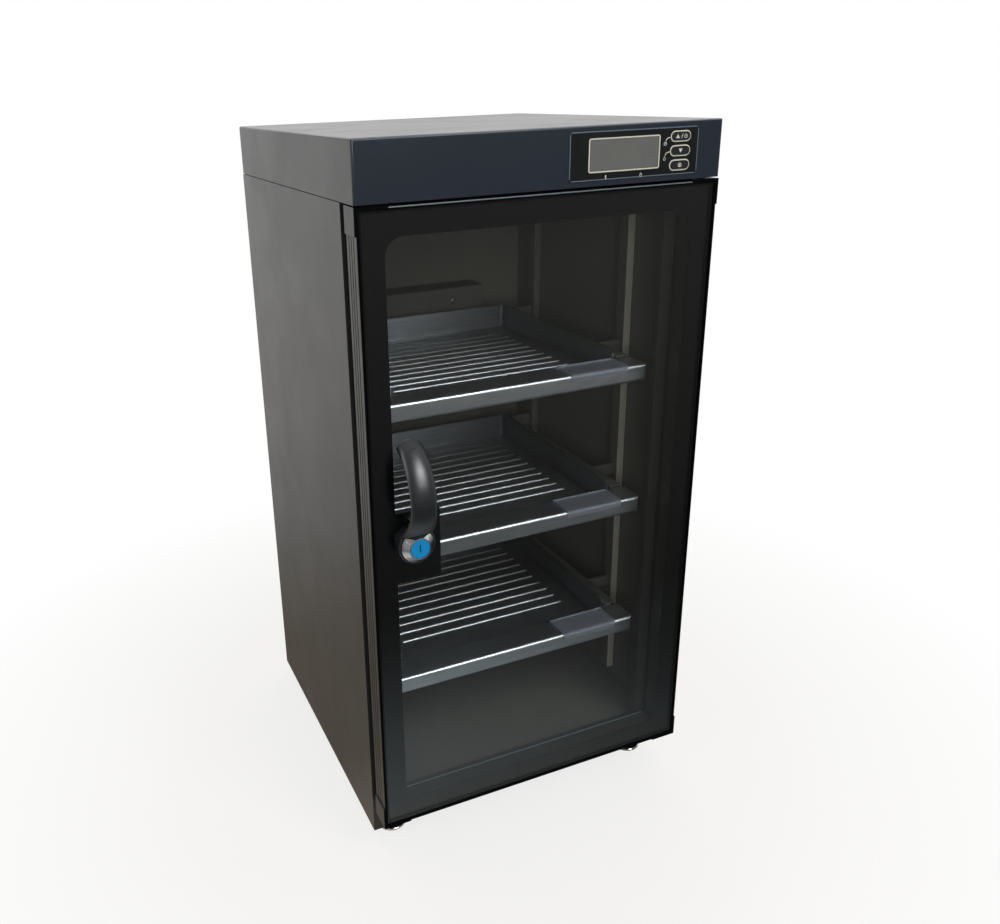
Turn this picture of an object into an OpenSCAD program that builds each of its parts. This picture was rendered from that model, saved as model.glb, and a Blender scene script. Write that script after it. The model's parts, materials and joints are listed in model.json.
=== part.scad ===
// Electronic dry box for filament and other goods that must stay dry: a steel cabinet with a framed
// glass door, three roll-out trays, a drying unit on the back wall and its controls under the top cover.
// Millimetres. X to the right, Y to the back, Z up. The origin is under the middle of the whole object.

/* [Cabinet] */
// Width of the cabinet and of its door
cab_w = 340; // [320:5:420]
// Depth from the front of the top cover to the back of the cabinet
cab_d = 360; // [350:5:440]
// Height of the steel body, without its feet and top cover
body_h = 622; // [600:1:720]
// Thickness of the folded steel sheet
sheet_t = 1.2; // [0.8:0.1:1.5]
// Width of each upright of the front frame
stile_w = 30; // [26:1:32]
// Height of the front frame under the opening
sill_h = 40; // [39:1:50]
// Height of the front frame above the opening
lintel_h = 30; // [24:1:36]
// Depth of the lip that folds back round the opening
return_d = 10; // [8:0.5:14]
// Depth of the flange that folds in at the rear of each side
rear_flange_w = 15; // [12:1:24]
// Drop from the lip of the sill to the chamber floor
floor_drop = 2; // [1.5:0.5:4]

/* [Top cover] */
// Height of the top cover
cover_h = 48.6; // [46:0.2:70]
// Seam between the body and the top cover
cover_seam = 0.7; // [0.4:0.1:1.5]
// Bend radius along the edges of the top cover
cover_r = 2.2; // [1.8:0.1:4]

/* [Door] */
// Thickness of the door frame
door_t = 24.5; // [22:0.5:30]
// Gap between the closed door and the front frame, filled by the gasket
gasket_gap = 8.7; // [8:0.1:10]
// Height of the door's lower edge above the underside of the body
door_lift = 30; // [28:0.5:32]
// Gap between the door and the top cover
door_gap = 1.3; // [1:0.1:2.5]
// Width of the hollow door profiles
profile_w = 21; // [20:0.5:24]
// Wall of the hollow door profiles
profile_wall = 1.5; // [1.2:0.1:1.8]
// How far the corner caps stand out from the profiles
cap_proud = 1.3; // [1:0.1:1.5]
// Length of a corner cap along the top and bottom
cap_l = 28; // [26:1:36]
// Length of the plug that a corner cap sets into each profile
spigot_l = 12; // [8:1:20]
// Width of the lip that holds the pane, on the profiles
lip_w = 2.4; // [2:0.1:3.5]
// Depth of that lip in front of the pane
lip_t = 1.2; // [0.8:0.1:1.6]
// Thickness of the glass pane
glass_t = 4; // [3:0.5:5]
// Thickness of the black film behind the edge of the pane
mask_t = 0.3; // [0.2:0.1:0.5]
// Width of the black border round the clear window
border_w = 25; // [24:1:32]
// Corner radius of the clear window
window_r = 16; // [6:1:24]
// Width of the magnetic gasket
gasket_w = 8; // [6:0.5:8]
// Distance from the door's side edge to the gasket
gasket_in = 11; // [10:0.5:13]
// Distance from the hinge axis to the door's side edge
hinge_in = 9; // [8.5:0.25:10]
// Distance from the hinge axis to the door's front
hinge_back = 12; // [11.5:0.25:13]
// Diameter of the hinge pins
pin_d = 6; // [4:0.5:7]
// Running clearance round pins and shafts
run_gap = 0.06; // [0.03:0.01:0.09]

/* [Handle and lock] */
// Distance from the door's free edge to the handle
handle_in = 39; // [38:0.5:46]
// Height of the lock above the door's lower edge
lock_up = 304; // [240:1:340]
// Distance from the lock to the upper foot of the handle
grip_span = 88; // [76:1:110]
// Width of the grip
grip_w = 23.6; // [20:0.2:30]
// Thickness of the grip
grip_t = 9.8; // [8:0.2:12]
// How far the middle of the grip stands from the pane
grip_out = 27; // [24:0.5:36]
// Radius of the chrome ring of the lock
ring_r = 15; // [13:0.25:17]
// Radius of the lock barrel
barrel_r = 9.5; // [8.5:0.25:10]
// Radius of the turning core
core_r = 7; // [5:0.25:7.5]
// Length of the cam from the lock's axis
cam_l = 21; // [18:0.5:24]

/* [Controls] */
// Width of the control panel
panel_w = 127.5; // [120:0.5:150]
// Height of the control panel
panel_h = 39; // [37:0.5:42]
// Thickness of the control panel in front of the cover
panel_t = 1; // [0.8:0.1:1.6]
// Distance from the panel to the right side of the cover
panel_in = 26; // [20:1:40]
// Width of the display
lcd_w = 68.3; // [60:0.1:72]
// Height of the display
lcd_h = 25.5; // [20:0.1:28]
// Distance from the panel's left edge to the display
lcd_in = 19; // [8:0.5:22]
// Width of a button
button_w = 18.6; // [15:0.1:19]
// Height of a button
button_h = 7; // [6:0.1:7.6]
// Distance between button centres
button_pitch = 11.75; // [11.4:0.05:12.4]
// Distance from the panel's right edge to the middle of the buttons
button_in = 18.5; // [16:0.5:24]
// Travel of a button
button_travel = 0.8; // [0.4:0.1:1]

/* [Trays] */
// Distance between trays
tray_pitch = 140.5; // [120:0.5:150]
// Height of the top tray's nose above the underside of the body
tray_top = 447; // [430:1:470]
// Gap between the tray's front nose and the front frame at each side
nose_gap = 4; // [3.5:0.5:10]
// Depth of the nose from front to back
nose_d = 28; // [22:1:32]
// Height of the nose
nose_h = 17; // [15:0.5:20]
// Gap between the front frame's face and the nose
nose_back = 6.8; // [6:0.2:10]
// Gap between the trays' back and the drying unit
tray_back_gap = 19; // [10:1:60]
// Height of the basin's back wall above the nose
wall_up = 9; // [6:0.5:14]
// Sheet thickness of the trays
tray_t = 1; // [0.8:0.1:1.2]
// Distance between the pressed ribs
rib_pitch = 16; // [14:0.5:24]
// Distance from the basin's front to the first rib
rib_front = 56; // [14:1:80]
// Height of the pressed ribs
rib_h = 1.4; // [1:0.1:2]
// Length of the clear label holder
label_l = 62; // [40:1:80]
// Distance from the nose's right end to the label holder
label_in = 24; // [16:1:60]

/* [Slides and uprights] */
// Width of a slotted upright
post_w = 15; // [12:1:20]
// Depth of a slotted upright
post_d = 8; // [6:0.5:10]
// Distance from the front frame's face to the front uprights
post_in = 83.8; // [70:0.2:110]
// Distance from the back panel to the rear uprights
post_back = 39.6; // [39:0.2:80]
// Gap between the slides and the front frame's opening at each side
slide_gap = 6; // [3:0.5:12]
// Depth of a slide channel
slide_w = 13; // [12:0.5:16]
// Inside height of a slide channel
channel_h = 12; // [10:0.5:14]

/* [Drying unit] */
// Width of the drying unit
dryer_w = 200; // [180:2:230]
// Height of the drying unit
dryer_h = 199; // [185:1:210]
// Depth of the drying unit, with its cover
dryer_d = 36.6; // [30:0.2:38]
// Height of a vent slot
vent_h = 6; // [4:0.5:6.5]
// Distance between vent slots
vent_pitch = 16; // [14:0.5:18]
// Height of the drying unit above the underside of the body
dryer_up = 280; // [200:5:320]

/* [Feet] */
// Height of the levelling feet under the body
foot_h = 12; // [10:0.5:20]
// Radius of a foot's disc
foot_r = 15; // [12:0.5:18]
// Distance from the cabinet's side to a foot's axis
foot_in = 25; // [20:1:32]
// Radius of a foot's threaded stud
stud_r = 4; // [3:0.5:5]

/* [Hidden] */

$fn = 64;
eps = 0.01;               // overshoot of a cut past the face that it opens
fit = 0.2;                // clearance round a piece that is set into another
bead_n = 6;               // steps in a small rounded corner
corner_n = 12;            // steps in a large rounded corner

// Screws: one pan-head size holds the covers, the brackets and the drying unit
screw_r = 2;
screw_head_r = 3.6;
screw_head_h = 2.2;
screw_l = 6;

// Rear socket for a detachable lead
inlet_flange_t = 2.5;
inlet_w = 28;
inlet_h = 20;
inlet_ear = 10;
inlet_depth = 16;
inlet_in = 60;            // distance from the cabinet's side to the socket

// Handle: a bow whose centre line is a cubic curve, in height above the lock and reach from the door
foot_len = 14;            // height of the grip's upper foot
seat_r = ring_r + 0.6;    // hollow of the grip's lower end, round the lock ring
boss_r = seat_r + 1.6;
ring_seat = 9;            // reach of the face that the lock ring bears on
boss_rim = 1.5;           // depth of the hollow that the ring sits in
grip_line = [
    [grip_span, -lip_t], [grip_span - 8, grip_out - 6], [0.35 * grip_span, grip_out + 23], [6.5, 0],
];
grip_steps = 26;
grip_sides = 28;

function cubic(p, t) =
    p[0] * pow(1 - t, 3) + 3 * p[1] * t * pow(1 - t, 2) + 3 * p[2] * t * t * (1 - t) + p[3] * pow(t, 3);
function cubic_dir(p, t) =
    (p[1] - p[0]) * pow(1 - t, 2) + 2 * (p[2] - p[1]) * t * (1 - t) + (p[3] - p[2]) * t * t;
function unit(v) = v / norm(v);
function grip_half_w(t) = grip_w / 2 + (boss_r - grip_w / 2) * pow(max(0, t - 0.6) / 0.4, 2);
function grip_half_t(t) = grip_t / 2 + (foot_len - grip_t) / 2 * pow(max(0, 1 - t / 0.28), 2);
// The side towards the door is flatter, and swells at the lower end
function grip_inner(t) = t == 0 ? 1 : 0.8 + pow(max(0, t - 0.7) / 0.3, 2);
// One point of the grip's skin: x from its middle, reach from the door's front, height above the lock
function grip_point(t, a) =
    let (c = cubic(grip_line, t))
    let (d = unit(cubic_dir(grip_line, t)))
    let (n = [d[1], -d[0]])
    let (s = grip_half_t(t) * sin(a) * (sin(a) < 0 ? grip_inner(t) : 1))
    [grip_half_w(t) * cos(a), c[1] + n[1] * s, c[0] + n[0] * s];
grip_skin = [
    for (i = [0:grip_steps]) [for (j = [0:grip_sides - 1]) grip_point(i / grip_steps, 360 * j / grip_sides)]
];
handle_reach = max([for (ring = grip_skin) for (p = ring) p[1]]);

// Places of the main planes
half_w = cab_w / 2;
rear_proud = max(screw_head_h, inlet_flange_t);
front_y = -(cab_d + rear_proud - handle_reach) / 2;
back_y = front_y + cab_d;
frame_y = front_y + door_t + gasket_gap;
inner_back_y = back_y - 2 * sheet_t;
base_z = foot_h;
body_top = base_z + body_h;
cover_z = body_top + cover_seam;
cover_top = cover_z + cover_h;
open_w = cab_w - 2 * stile_w;
open_z0 = base_z + sill_h;
open_z1 = body_top - lintel_h;
floor_z = open_z0 - floor_drop;
ceiling_z = open_z1 + 2;
flange_h = 12;            // upturned edges of the inner panels

// Door
door_z0 = base_z + door_lift;
door_z1 = cover_z - door_gap;
cap_h = profile_w + cap_proud;
edge_in = cap_proud + profile_wall;
seat_v = lip_t + glass_t + mask_t;
film_gap = 0.05;
groove_w = 1.2;
groove_d = 0.5;
dart_w = 2.4;
dart_head_w = 4.4;
dart_head_t = 1.4;
magnet_t = 4.2;
gasket_low_in = 1.5;
gasket_touch = 0.2;       // the gasket stops this far short of the frame
hinge_x = half_w - hinge_in;
hinge_y = front_y + hinge_back;
bush_wall = 2;
bush_l = 14;
pin_l = 12;
washer_t = 0.4;
washer_gap = 0.1;
plate_t = 2.5;
arm_r = hinge_in - sheet_t - fit;
leg_y = frame_y + sheet_t;

// Lock and handle
handle_x = -half_w + handle_in;
lock_z = door_z0 + lock_up;
tab_side = 28;            // black tab of the border behind the lock, from its axis to the window
tab_low = 41;
tab_high = 26.5;
tab_r = 2.5;
disc_r = 9;
disc_t = 1;
ring_top = 17;            // reach of the front of the lock ring
ring_edge = 2.2;
barrel_back = 30;         // depth of the barrel's rear end behind the door's front
cam_t = 2;
cam_w = 12;
cam_back = frame_y - front_y + sheet_t + 0.2;
nut_r = 13;
nut_t = 5;
keeper_t = 1.5;
keeper_h = 52;
keeper_d = return_d - 1;

// Controls, from the panel's right edge and the cover's top
panel_x1 = half_w - panel_in;
panel_x0 = panel_x1 - panel_w;
panel_z1 = cover_top - (cover_h - panel_h) / 2;
panel_z0 = panel_z1 - panel_h;
panel_mid_z = (panel_z0 + panel_z1) / 2;
panel_r = 3.5;
lcd_x0 = panel_x0 + lcd_in;
lcd_z0 = panel_mid_z - lcd_h / 2 + 0.3;
button_x = panel_x1 - button_in;
button_gap = 0.2;
button_proud = 0.8;
key_flange = 0.9;         // how far a button's flange spreads behind the panel
key_flange_t = 1;
window_gap = 1.5;         // between what moves or shines and the opening in the cover
keys_half_h = button_pitch + button_h / 2 + key_flange + window_gap;
keys_x1 = button_x + button_w / 2 + key_flange + window_gap;
stem_r = 2;
board_y = front_y + 9;
board_t = 1.6;
stem_end = 3.6;

// Trays
nose_w = open_w - 2 * nose_gap;
nose_y = frame_y + nose_back;
basin_y0 = nose_y + nose_d;
basin_y1 = inner_back_y - dryer_d - tray_back_gap;
nose_r = 3;
nose_corner = 5;
nose_return = 12;
basin_r = 6;
basin_fall = 4.5;         // the side walls are this much lower at the front
rim_w = 2.6;
rib_side = 22;            // bare floor between the ribs and the side walls
rib_r = 2.4;
label_t = 0.8;
label_lip = 3;            // drop of the label holder's front lip
label_rail = 1.4;         // height of its ends and of its rear rail
tray_count = 3;
function tray_z(i) = base_z + tray_top - i * tray_pitch;

// Slides and uprights
post_face = half_w - sheet_t - post_d;
post_front = frame_y + post_in;
post_rear = inner_back_y - post_back - post_w;
slot_w = 3.2;
slot_h = 12;
post_wall = 1.2;
post_z0 = floor_z + 8;
post_z1 = open_z1 - 6;
slide_t = 1.5;
slide_out = open_w / 2 - slide_gap;
slide_in = slide_out - slide_w;
slide_air = 1.8;          // between a slide and the basin
basin_w = 2 * (slide_in - slide_air);
slide_mid = -6;           // middle of a slide, from the nose's top
runner_play = 1.2;
slide_y0 = basin_y0 + 4;
slide_lip = 3.4;          // width left on each side of the slot in a slide's underside
hook_drop = 2;
slide_y1 = post_rear + post_w;

// Drying unit
dryer_front = inner_back_y - dryer_d;
dryer_z0 = base_z + dryer_up;
dryer_z1 = dryer_z0 + dryer_h;
dryer_cover_t = 1.5;
dryer_wall = 2;
vent_w = 120;
vent_up = 52;
vent_z0 = dryer_z0 + vent_up;
vent_count = 6;
shutter_t = 1.2;
shutter_travel = vent_pitch / 2;
shutter_play = 0.4;

// A box between two corners
module block(a, b) {
    translate(a) cube(b - a);
}

// The same piece on both sides of the middle plane
module both_sides() {
    children();
    mirror([1, 0, 0]) children();
}

function arc_points(c, r, a0, a1, n) =
    [for (i = [0:n]) [c[0] + r * cos(a0 + (a1 - a0) * i / n), c[1] + r * sin(a0 + (a1 - a0) * i / n)]];

// A rectangle with four round corners
module rounded(a, b, r, n = bead_n) {
    polygon(concat(
        arc_points([b[0] - r, a[1] + r], r, -90, 0, n),
        arc_points([b[0] - r, b[1] - r], r, 0, 90, n),
        arc_points([a[0] + r, b[1] - r], r, 90, 180, n),
        arc_points([a[0] + r, a[1] + r], r, 180, 270, n)
    ));
}

// Extrudes an outline drawn in y and z along x
module along_x(x0, x1) {
    translate([x0, 0, 0]) rotate([90, 0, 90]) linear_extrude(x1 - x0) children();
}

// Extrudes an outline drawn in x and z along y
module along_y(y0, y1) {
    translate([0, y1, 0]) rotate([90, 0, 0]) linear_extrude(y1 - y0) children();
}

// Extrudes an outline drawn in x and y along z
module along_z(z0, z1) {
    translate([0, 0, z0]) linear_extrude(z1 - z0) children();
}

// Turns an outline of radius and reach about an axis that runs to the front
module turned(x, z) {
    translate([x, front_y, z]) rotate([90, 0, 0]) rotate_extrude() children();
}

// A cylinder along y
module rod_y(x, z, y0, y1, r) {
    translate([x, y1, z]) rotate([90, 0, 0]) cylinder(h = y1 - y0, r = r);
}

// A pan-head screw that enters along +y; its head rests on the face at y
module screw_in(x, y, z) {
    rod_y(x, z, y - screw_head_h, y, screw_head_r);
    rod_y(x, z, y - eps, y + screw_l, screw_r);
}

// ---- Cabinet ----

// One folded side: skin, front upright, lip round the opening and rear flange
module side_panel() {
    block([half_w - sheet_t, frame_y, base_z], [half_w, back_y, body_top]);
    block([half_w - stile_w, frame_y, base_z], [half_w, frame_y + sheet_t, body_top]);
    block([half_w - stile_w, frame_y, base_z],
          [half_w - stile_w + sheet_t, frame_y + return_d, body_top]);
    block([half_w - rear_flange_w, back_y - sheet_t, base_z], [half_w, back_y, body_top]);
}

module side_panel_right() {
    color("#3a3a3c") difference() {
        side_panel();
        for (z = [12, 22]) {
            rod_y(hinge_x, base_z + z, frame_y - eps, frame_y + sheet_t + eps, screw_r + fit);
        }
        back_screw_holes();
    }
}

module side_panel_left() {
    color("#3a3a3c") difference() {
        mirror([1, 0, 0]) side_panel();
        cam_slot(-half_w + stile_w - sheet_t - eps, -half_w + stile_w + eps);
        back_screw_holes();
    }
}

// The opening that the cam turns into when it locks
module cam_slot(x0, x1) {
    block([x0, front_y + cam_back - 0.8, lock_z - cam_l - 1],
          [x1, front_y + cam_back + cam_t + 3, lock_z + 8]);
}

back_screw_end = 40;
back_screw_z = [base_z + back_screw_end, base_z + body_h / 2, body_top - back_screw_end];
back_screw_x = half_w - rear_flange_w / 2;
module back_screw_holes() {
    for (z = back_screw_z) {
        both_sides() rod_y(back_screw_x, z, inner_back_y - eps, back_y + eps, screw_r + fit);
    }
}

// The back, with the drying unit's outlet
module back_panel() {
    color("#343436") difference() {
        block([-half_w + sheet_t, inner_back_y, base_z], [half_w - sheet_t, back_y - sheet_t, body_top]);
        vent_slots(inner_back_y - eps, back_y);
        back_screw_holes();
    }
}

foot_y = [frame_y + 18, back_y - 36];
module at_feet() {
    for (s = [-1, 1]) {
        for (y = foot_y) {
            translate([s * (half_w - foot_in), y, 0]) children();
        }
    }
}

// The bottom pan, with a welded nut for each foot
module base_panel() {
    nut_h = 8;
    y0 = frame_y + return_d;
    color("#303032") difference() {
        union() {
            block([-half_w + sheet_t, y0, base_z], [half_w - sheet_t, inner_back_y, base_z + sheet_t]);
            both_sides() {
                block([half_w - 2 * sheet_t, y0, base_z],
                      [half_w - sheet_t, inner_back_y, base_z + flange_h]);
            }
            at_feet() translate([0, 0, base_z]) cylinder(h = nut_h, r = stud_r + 4, $fn = 6);
        }
        at_feet() translate([0, 0, base_z - eps]) cylinder(h = nut_h + 1, r = stud_r + run_gap);
    }
}

// The floor of the drying chamber, with down-turned edges
module chamber_floor() {
    y0 = frame_y + return_d;
    color("#3b3b3c") {
        block([-half_w + sheet_t, y0, floor_z - sheet_t], [half_w - sheet_t, inner_back_y, floor_z]);
        both_sides() {
            block([half_w - 2 * sheet_t, y0, floor_z - flange_h],
                  [half_w - sheet_t, inner_back_y, floor_z]);
        }
    }
}

// The frame under the opening: face, lips and the edge that meets the chamber floor
module front_sill() {
    x = open_w / 2;
    color("#2b2f36") {
        block([-x, frame_y, base_z], [x, frame_y + return_d, base_z + sheet_t]);
        block([-x, frame_y, base_z], [x, frame_y + sheet_t, open_z0]);
        block([-x, frame_y, open_z0 - sheet_t], [x, frame_y + return_d, open_z0]);
        block([-x, frame_y + return_d - sheet_t, open_z0 - flange_h], [x, frame_y + return_d, open_z0]);
    }
}

// The frame above the opening
module front_lintel() {
    x = open_w / 2;
    color("#2b2f36") {
        block([-x, frame_y, open_z1], [x, frame_y + sheet_t, body_top]);
        block([-x, frame_y, open_z1], [x, frame_y + return_d, open_z1 + sheet_t]);
        block([-x, frame_y + return_d - sheet_t, open_z1], [x, frame_y + return_d, open_z1 + flange_h]);
    }
}

// The plate between the drying chamber and the electronics
module ceiling_panel() {
    y0 = frame_y + return_d;
    color("#3b3b3c") {
        block([-half_w + sheet_t, y0, ceiling_z], [half_w - sheet_t, inner_back_y, ceiling_z + sheet_t]);
        both_sides() {
            block([half_w - 2 * sheet_t, y0, ceiling_z],
                  [half_w - sheet_t, inner_back_y, ceiling_z + flange_h]);
        }
    }
}

// A body with the bend radius on its upright and top edges, open below
module cover_form(inset, r) {
    x = half_w - inset;
    y0 = front_y + inset;
    y1 = back_y - inset;
    z1 = cover_top - inset;
    z0 = cover_z - eps - (inset > 0 ? 1 : 0);
    intersection() {
        along_z(z0, z1) rounded([-x, y0], [x, y1], r);
        along_y(y0, y1) rounded([-x, z0 - 2 * r], [x, z1], r);
        along_x(-x, x) rounded([y0, z0 - 2 * r], [y1, z1], r);
    }
}

// The top cover: one folded shell, with a lip under its front that closes it over the door
module top_cover() {
    lip = 8;
    color("#2a303a") difference() {
        union() {
            difference() {
                cover_form(0, cover_r);
                cover_form(sheet_t, cover_r - sheet_t);
            }
            block([-half_w + sheet_t - eps, front_y + sheet_t - eps, cover_z],
                  [half_w - sheet_t + eps, frame_y, cover_z + sheet_t]);
            both_sides() {
                block([half_w - lip, leg_y + plate_t + lip, cover_z],
                      [half_w - sheet_t + eps, back_y - lip, cover_z + sheet_t]);
            }
        }
        translate([0, 0, cover_z - 1]) block([-half_w, front_y, 0], [half_w, back_y, 1]);
        along_y(front_y - eps, front_y + sheet_t + eps) {
            rounded([lcd_x0 - window_gap, panel_mid_z - keys_half_h],
                    [keys_x1, panel_mid_z + keys_half_h], 2);
        }
        translate([hinge_x, hinge_y, cover_z - eps])
            cylinder(h = sheet_t + 2 * eps, r = pin_d / 2 + 1.5);
        block([half_w - inlet_in - inlet_w / 2 - 2, back_y - sheet_t - eps, inlet_z - inlet_h / 2 - 1],
              [half_w - inlet_in + inlet_w / 2 + 2, back_y + eps, inlet_z + inlet_h / 2 + 1]);
        for (x = cover_screw_x) {
            rod_y(x, cover_screw_z, back_y - sheet_t - eps, back_y + eps, screw_r + fit);
        }
        for (s = [-1, 1]) {
            rod_y(half_w - inlet_in + s * inlet_ear_x, inlet_z, back_y - sheet_t - eps,
                  back_y + eps, screw_r + fit);
        }
    }
}

cover_screw_left = 25;
cover_screw_right = 15;
cover_screw_mid = 105;
cover_screw_up = 12;
cover_screw_x = [-half_w + cover_screw_left, -half_w / 3, half_w - cover_screw_mid,
                 half_w - cover_screw_right];
cover_screw_z = cover_z + cover_screw_up;
inlet_z = cover_z + cover_h / 2;
inlet_ear_x = inlet_w / 2 + inlet_ear / 2 + 2;

// ---- Controls ----

module button_slot(i, grow) {
    w = button_w / 2 + grow;
    h = button_h / 2 + grow;
    z = panel_mid_z + (1 - i) * button_pitch;
    rounded([button_x - w, z - h], [button_x + w, z + h], h - eps, corner_n);
}

// The raised panel round the display and the buttons
module control_panel() {
    color("#202428") along_y(front_y - panel_t, front_y) difference() {
        rounded([panel_x0, panel_z0], [panel_x1, panel_z1], panel_r);
        rounded([lcd_x0, lcd_z0], [lcd_x0 + lcd_w, lcd_z0 + lcd_h], 1.5);
        for (i = [0:2]) {
            button_slot(i, button_gap);
        }
    }
}

// The clear lens over the display, set into the panel
module display_window() {
    lens_front = front_y - panel_t + 0.3;
    color("#5c5c5c") {
        along_y(lens_front, front_y + 1.2) {
            rounded([lcd_x0 + fit, lcd_z0 + fit], [lcd_x0 + lcd_w - fit, lcd_z0 + lcd_h - fit], 1.3);
        }
    }
}

// The circuit board, with the display module and a switch behind each button
module control_board() {
    edge = 2;
    side = 3;
    hole_in = 4;
    hole_r = 1.6;
    cell_side = 1;
    cell_gap = 1.2;
    switch = 3;
    switch_h = 3.5;
    plunger_r = 1.7;
    plug_in = 6;
    plug_w = 28;
    plug_d = 7;
    plug_h = 8;
    x0 = lcd_x0 - 2 * side;
    x1 = panel_x1 - side;
    z0 = panel_z0 + edge;
    z1 = panel_z1 - edge;
    color("#1f5a3a") {
        difference() {
            block([x0, board_y, z0], [x1, board_y + board_t, z1]);
            for (x = [x0 + hole_in, x1 - hole_in]) {
                for (z = [z0 + side, z1 - side]) {
                    rod_y(x, z, board_y - eps, board_y + board_t + eps, hole_r);
                }
            }
        }
        block([lcd_x0 + cell_side, front_y + cell_gap, lcd_z0 + cell_side / 2],
              [lcd_x0 + lcd_w - cell_side, board_y, lcd_z0 + lcd_h - cell_side / 2]);
        for (i = [0:2]) {
            z = panel_mid_z + (1 - i) * button_pitch;
            block([button_x - switch, board_y - switch_h, z - switch],
                  [button_x + switch, board_y, z + switch]);
            rod_y(button_x, z, front_y + stem_end + button_travel + fit,
                  board_y - switch_h + eps, plunger_r);
        }
        for (z = [panel_z0 + plug_h, panel_z1 - plug_in - plug_h]) {
            block([lcd_x0 + plug_in, board_y + board_t, z],
                  [lcd_x0 + plug_in + plug_w, board_y + board_t + plug_d, z + plug_h]);
        }
    }
}

// One push button: cap, the flange that keeps it behind the panel, and its stem
module button(i) {
    z = panel_mid_z + (1 - i) * button_pitch;
    color("#17191c") {
        along_y(front_y - panel_t - button_proud, front_y + eps) button_slot(i, 0);
        along_y(front_y + 0.1, front_y + 0.1 + key_flange_t) button_slot(i, key_flange);
        along_y(front_y, front_y + 0.1 + eps) button_slot(i, -0.5);
        rod_y(button_x, z, front_y + key_flange_t, front_y + stem_end, stem_r);
    }
}

supply_z = ceiling_z + sheet_t;
supply_w = 90;
supply_d = 62;
supply_h = 34;
supply_in = 130;
supply_back = 120;
supply_ear = 8;
supply_ear_t = 1.5;
// The power supply: a folded case on the chamber's ceiling
module power_supply() {
    x0 = half_w - supply_in;
    y0 = back_y - supply_back;
    color("#8d9296") {
        block([x0, y0, supply_z], [x0 + supply_w, y0 + supply_d, supply_z + supply_h]);
        block([x0 - supply_ear, y0 + supply_ear, supply_z],
              [x0 + supply_w + supply_ear, y0 + supply_d - supply_ear, supply_z + supply_ear_t]);
    }
}

// The rear socket, with two ears and three flat contacts
module power_inlet() {
    x = half_w - inlet_in;
    shell = 2;
    color("#1a1a1b") {
        difference() {
            union() {
                along_y(back_y, back_y + inlet_flange_t) {
                    rounded([x - inlet_ear_x - 5, inlet_z - inlet_h / 2 - 2],
                            [x + inlet_ear_x + 5, inlet_z + inlet_h / 2 + 2], 4);
                }
                block([x - inlet_w / 2, back_y - inlet_depth, inlet_z - inlet_h / 2],
                      [x + inlet_w / 2, back_y + eps, inlet_z + inlet_h / 2]);
            }
            block([x - inlet_w / 2 + shell, back_y - inlet_depth + shell, inlet_z - inlet_h / 2 + shell],
                  [x + inlet_w / 2 - shell, back_y + inlet_flange_t + eps,
                   inlet_z + inlet_h / 2 - shell]);
            for (s = [-1, 1]) {
                rod_y(x + s * inlet_ear_x, inlet_z, back_y - eps,
                      back_y + inlet_flange_t + eps, screw_r + fit);
            }
        }
        for (p = [[-7, -1], [0, 3], [7, -1]]) {
            block([x + p[0] - 1, back_y - inlet_depth + shell - eps, inlet_z + p[1] - 2],
                  [x + p[0] + 1, back_y - 3, inlet_z + p[1] + 2]);
        }
    }
}

// All the pan-head screws of the cabinet
module machine_screws() {
    color("#c9ccce") {
        for (x = cover_screw_x) {
            translate([0, back_y, 0]) mirror([0, 1, 0]) screw_in(x, 0, cover_screw_z);
        }
        for (z = back_screw_z) {
            both_sides() translate([0, back_y, 0]) mirror([0, 1, 0]) screw_in(back_screw_x, 0, z);
        }
        for (x = [-1, 1]) {
            for (z = dryer_screw_z) {
                screw_in(x * dryer_screw_x, dryer_front, z);
            }
        }
        for (z = [12, 22]) {
            screw_in(hinge_x, frame_y - plate_t, base_z + z);
        }
    }
}

// ---- Uprights and slides ----

// One upright: a channel with its open side against the wall, and a slot for each slide's hook
module upright(y0) {
    difference() {
        block([post_face, y0, post_z0], [half_w - sheet_t, y0 + post_w, post_z1]);
        block([post_face + post_wall, y0 + post_wall, post_z0 - eps],
              [half_w - sheet_t + eps, y0 + post_w - post_wall, post_z1 + eps]);
        for (i = [0:tray_count - 1]) {
            hook_slot(y0, tray_z(i) + slide_mid);
        }
    }
}

module hook_slot(y0, z) {
    block([post_face - eps, y0 + (post_w - slot_w) / 2, z - slot_h / 2],
          [post_face + post_wall + eps, y0 + (post_w + slot_w) / 2, z + slot_h / 2]);
}

module wall_uprights() {
    color("#6b6a66") both_sides() {
        upright(post_front);
        upright(post_rear);
    }
}

// The fixed half of one slide: a channel, and an arm with a hook into each upright
module slide(z) {
    h = channel_h / 2 + slide_t;
    tab = slot_w - 2 * fit;
    hook_x1 = post_face + 2 * post_wall + fit;
    difference() {
        block([slide_in, slide_y0, z - h], [slide_out, slide_y1, z + h]);
        block([slide_in - eps, slide_y0 - eps, z - h + slide_t],
              [slide_out - slide_t, slide_y1 - slide_t, z + h - slide_t]);
        block([slide_in + slide_lip, slide_y0 + post_w, z - h - eps],
              [slide_out - slide_lip, slide_y1 - 1.5 * post_w, z - h + slide_t + eps]);
    }
    for (y = [post_front, post_rear]) {
        mid = y + post_w / 2;
        block([slide_out - eps, y, z - h], [post_face, y + post_w, z - h + slide_t]);
        block([slide_out - eps, mid - tab / 2, z - h], [post_face, mid + tab / 2, z + h]);
        block([post_face - eps, mid - tab / 2, z - slot_h / 2 + fit],
              [hook_x1, mid + tab / 2, z + slot_h / 2 - 1.5 * hook_drop]);
        block([post_face + post_wall + fit, mid - tab / 2, z - slot_h / 2 - hook_drop],
              [hook_x1, mid + tab / 2, z + slot_h / 2 - 1.5 * hook_drop]);
    }
}

module tray_slides() {
    color("#b4b6b4") both_sides() {
        for (i = [0:tray_count - 1]) {
            slide(tray_z(i) + slide_mid);
        }
    }
}

// ---- Trays ----

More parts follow.
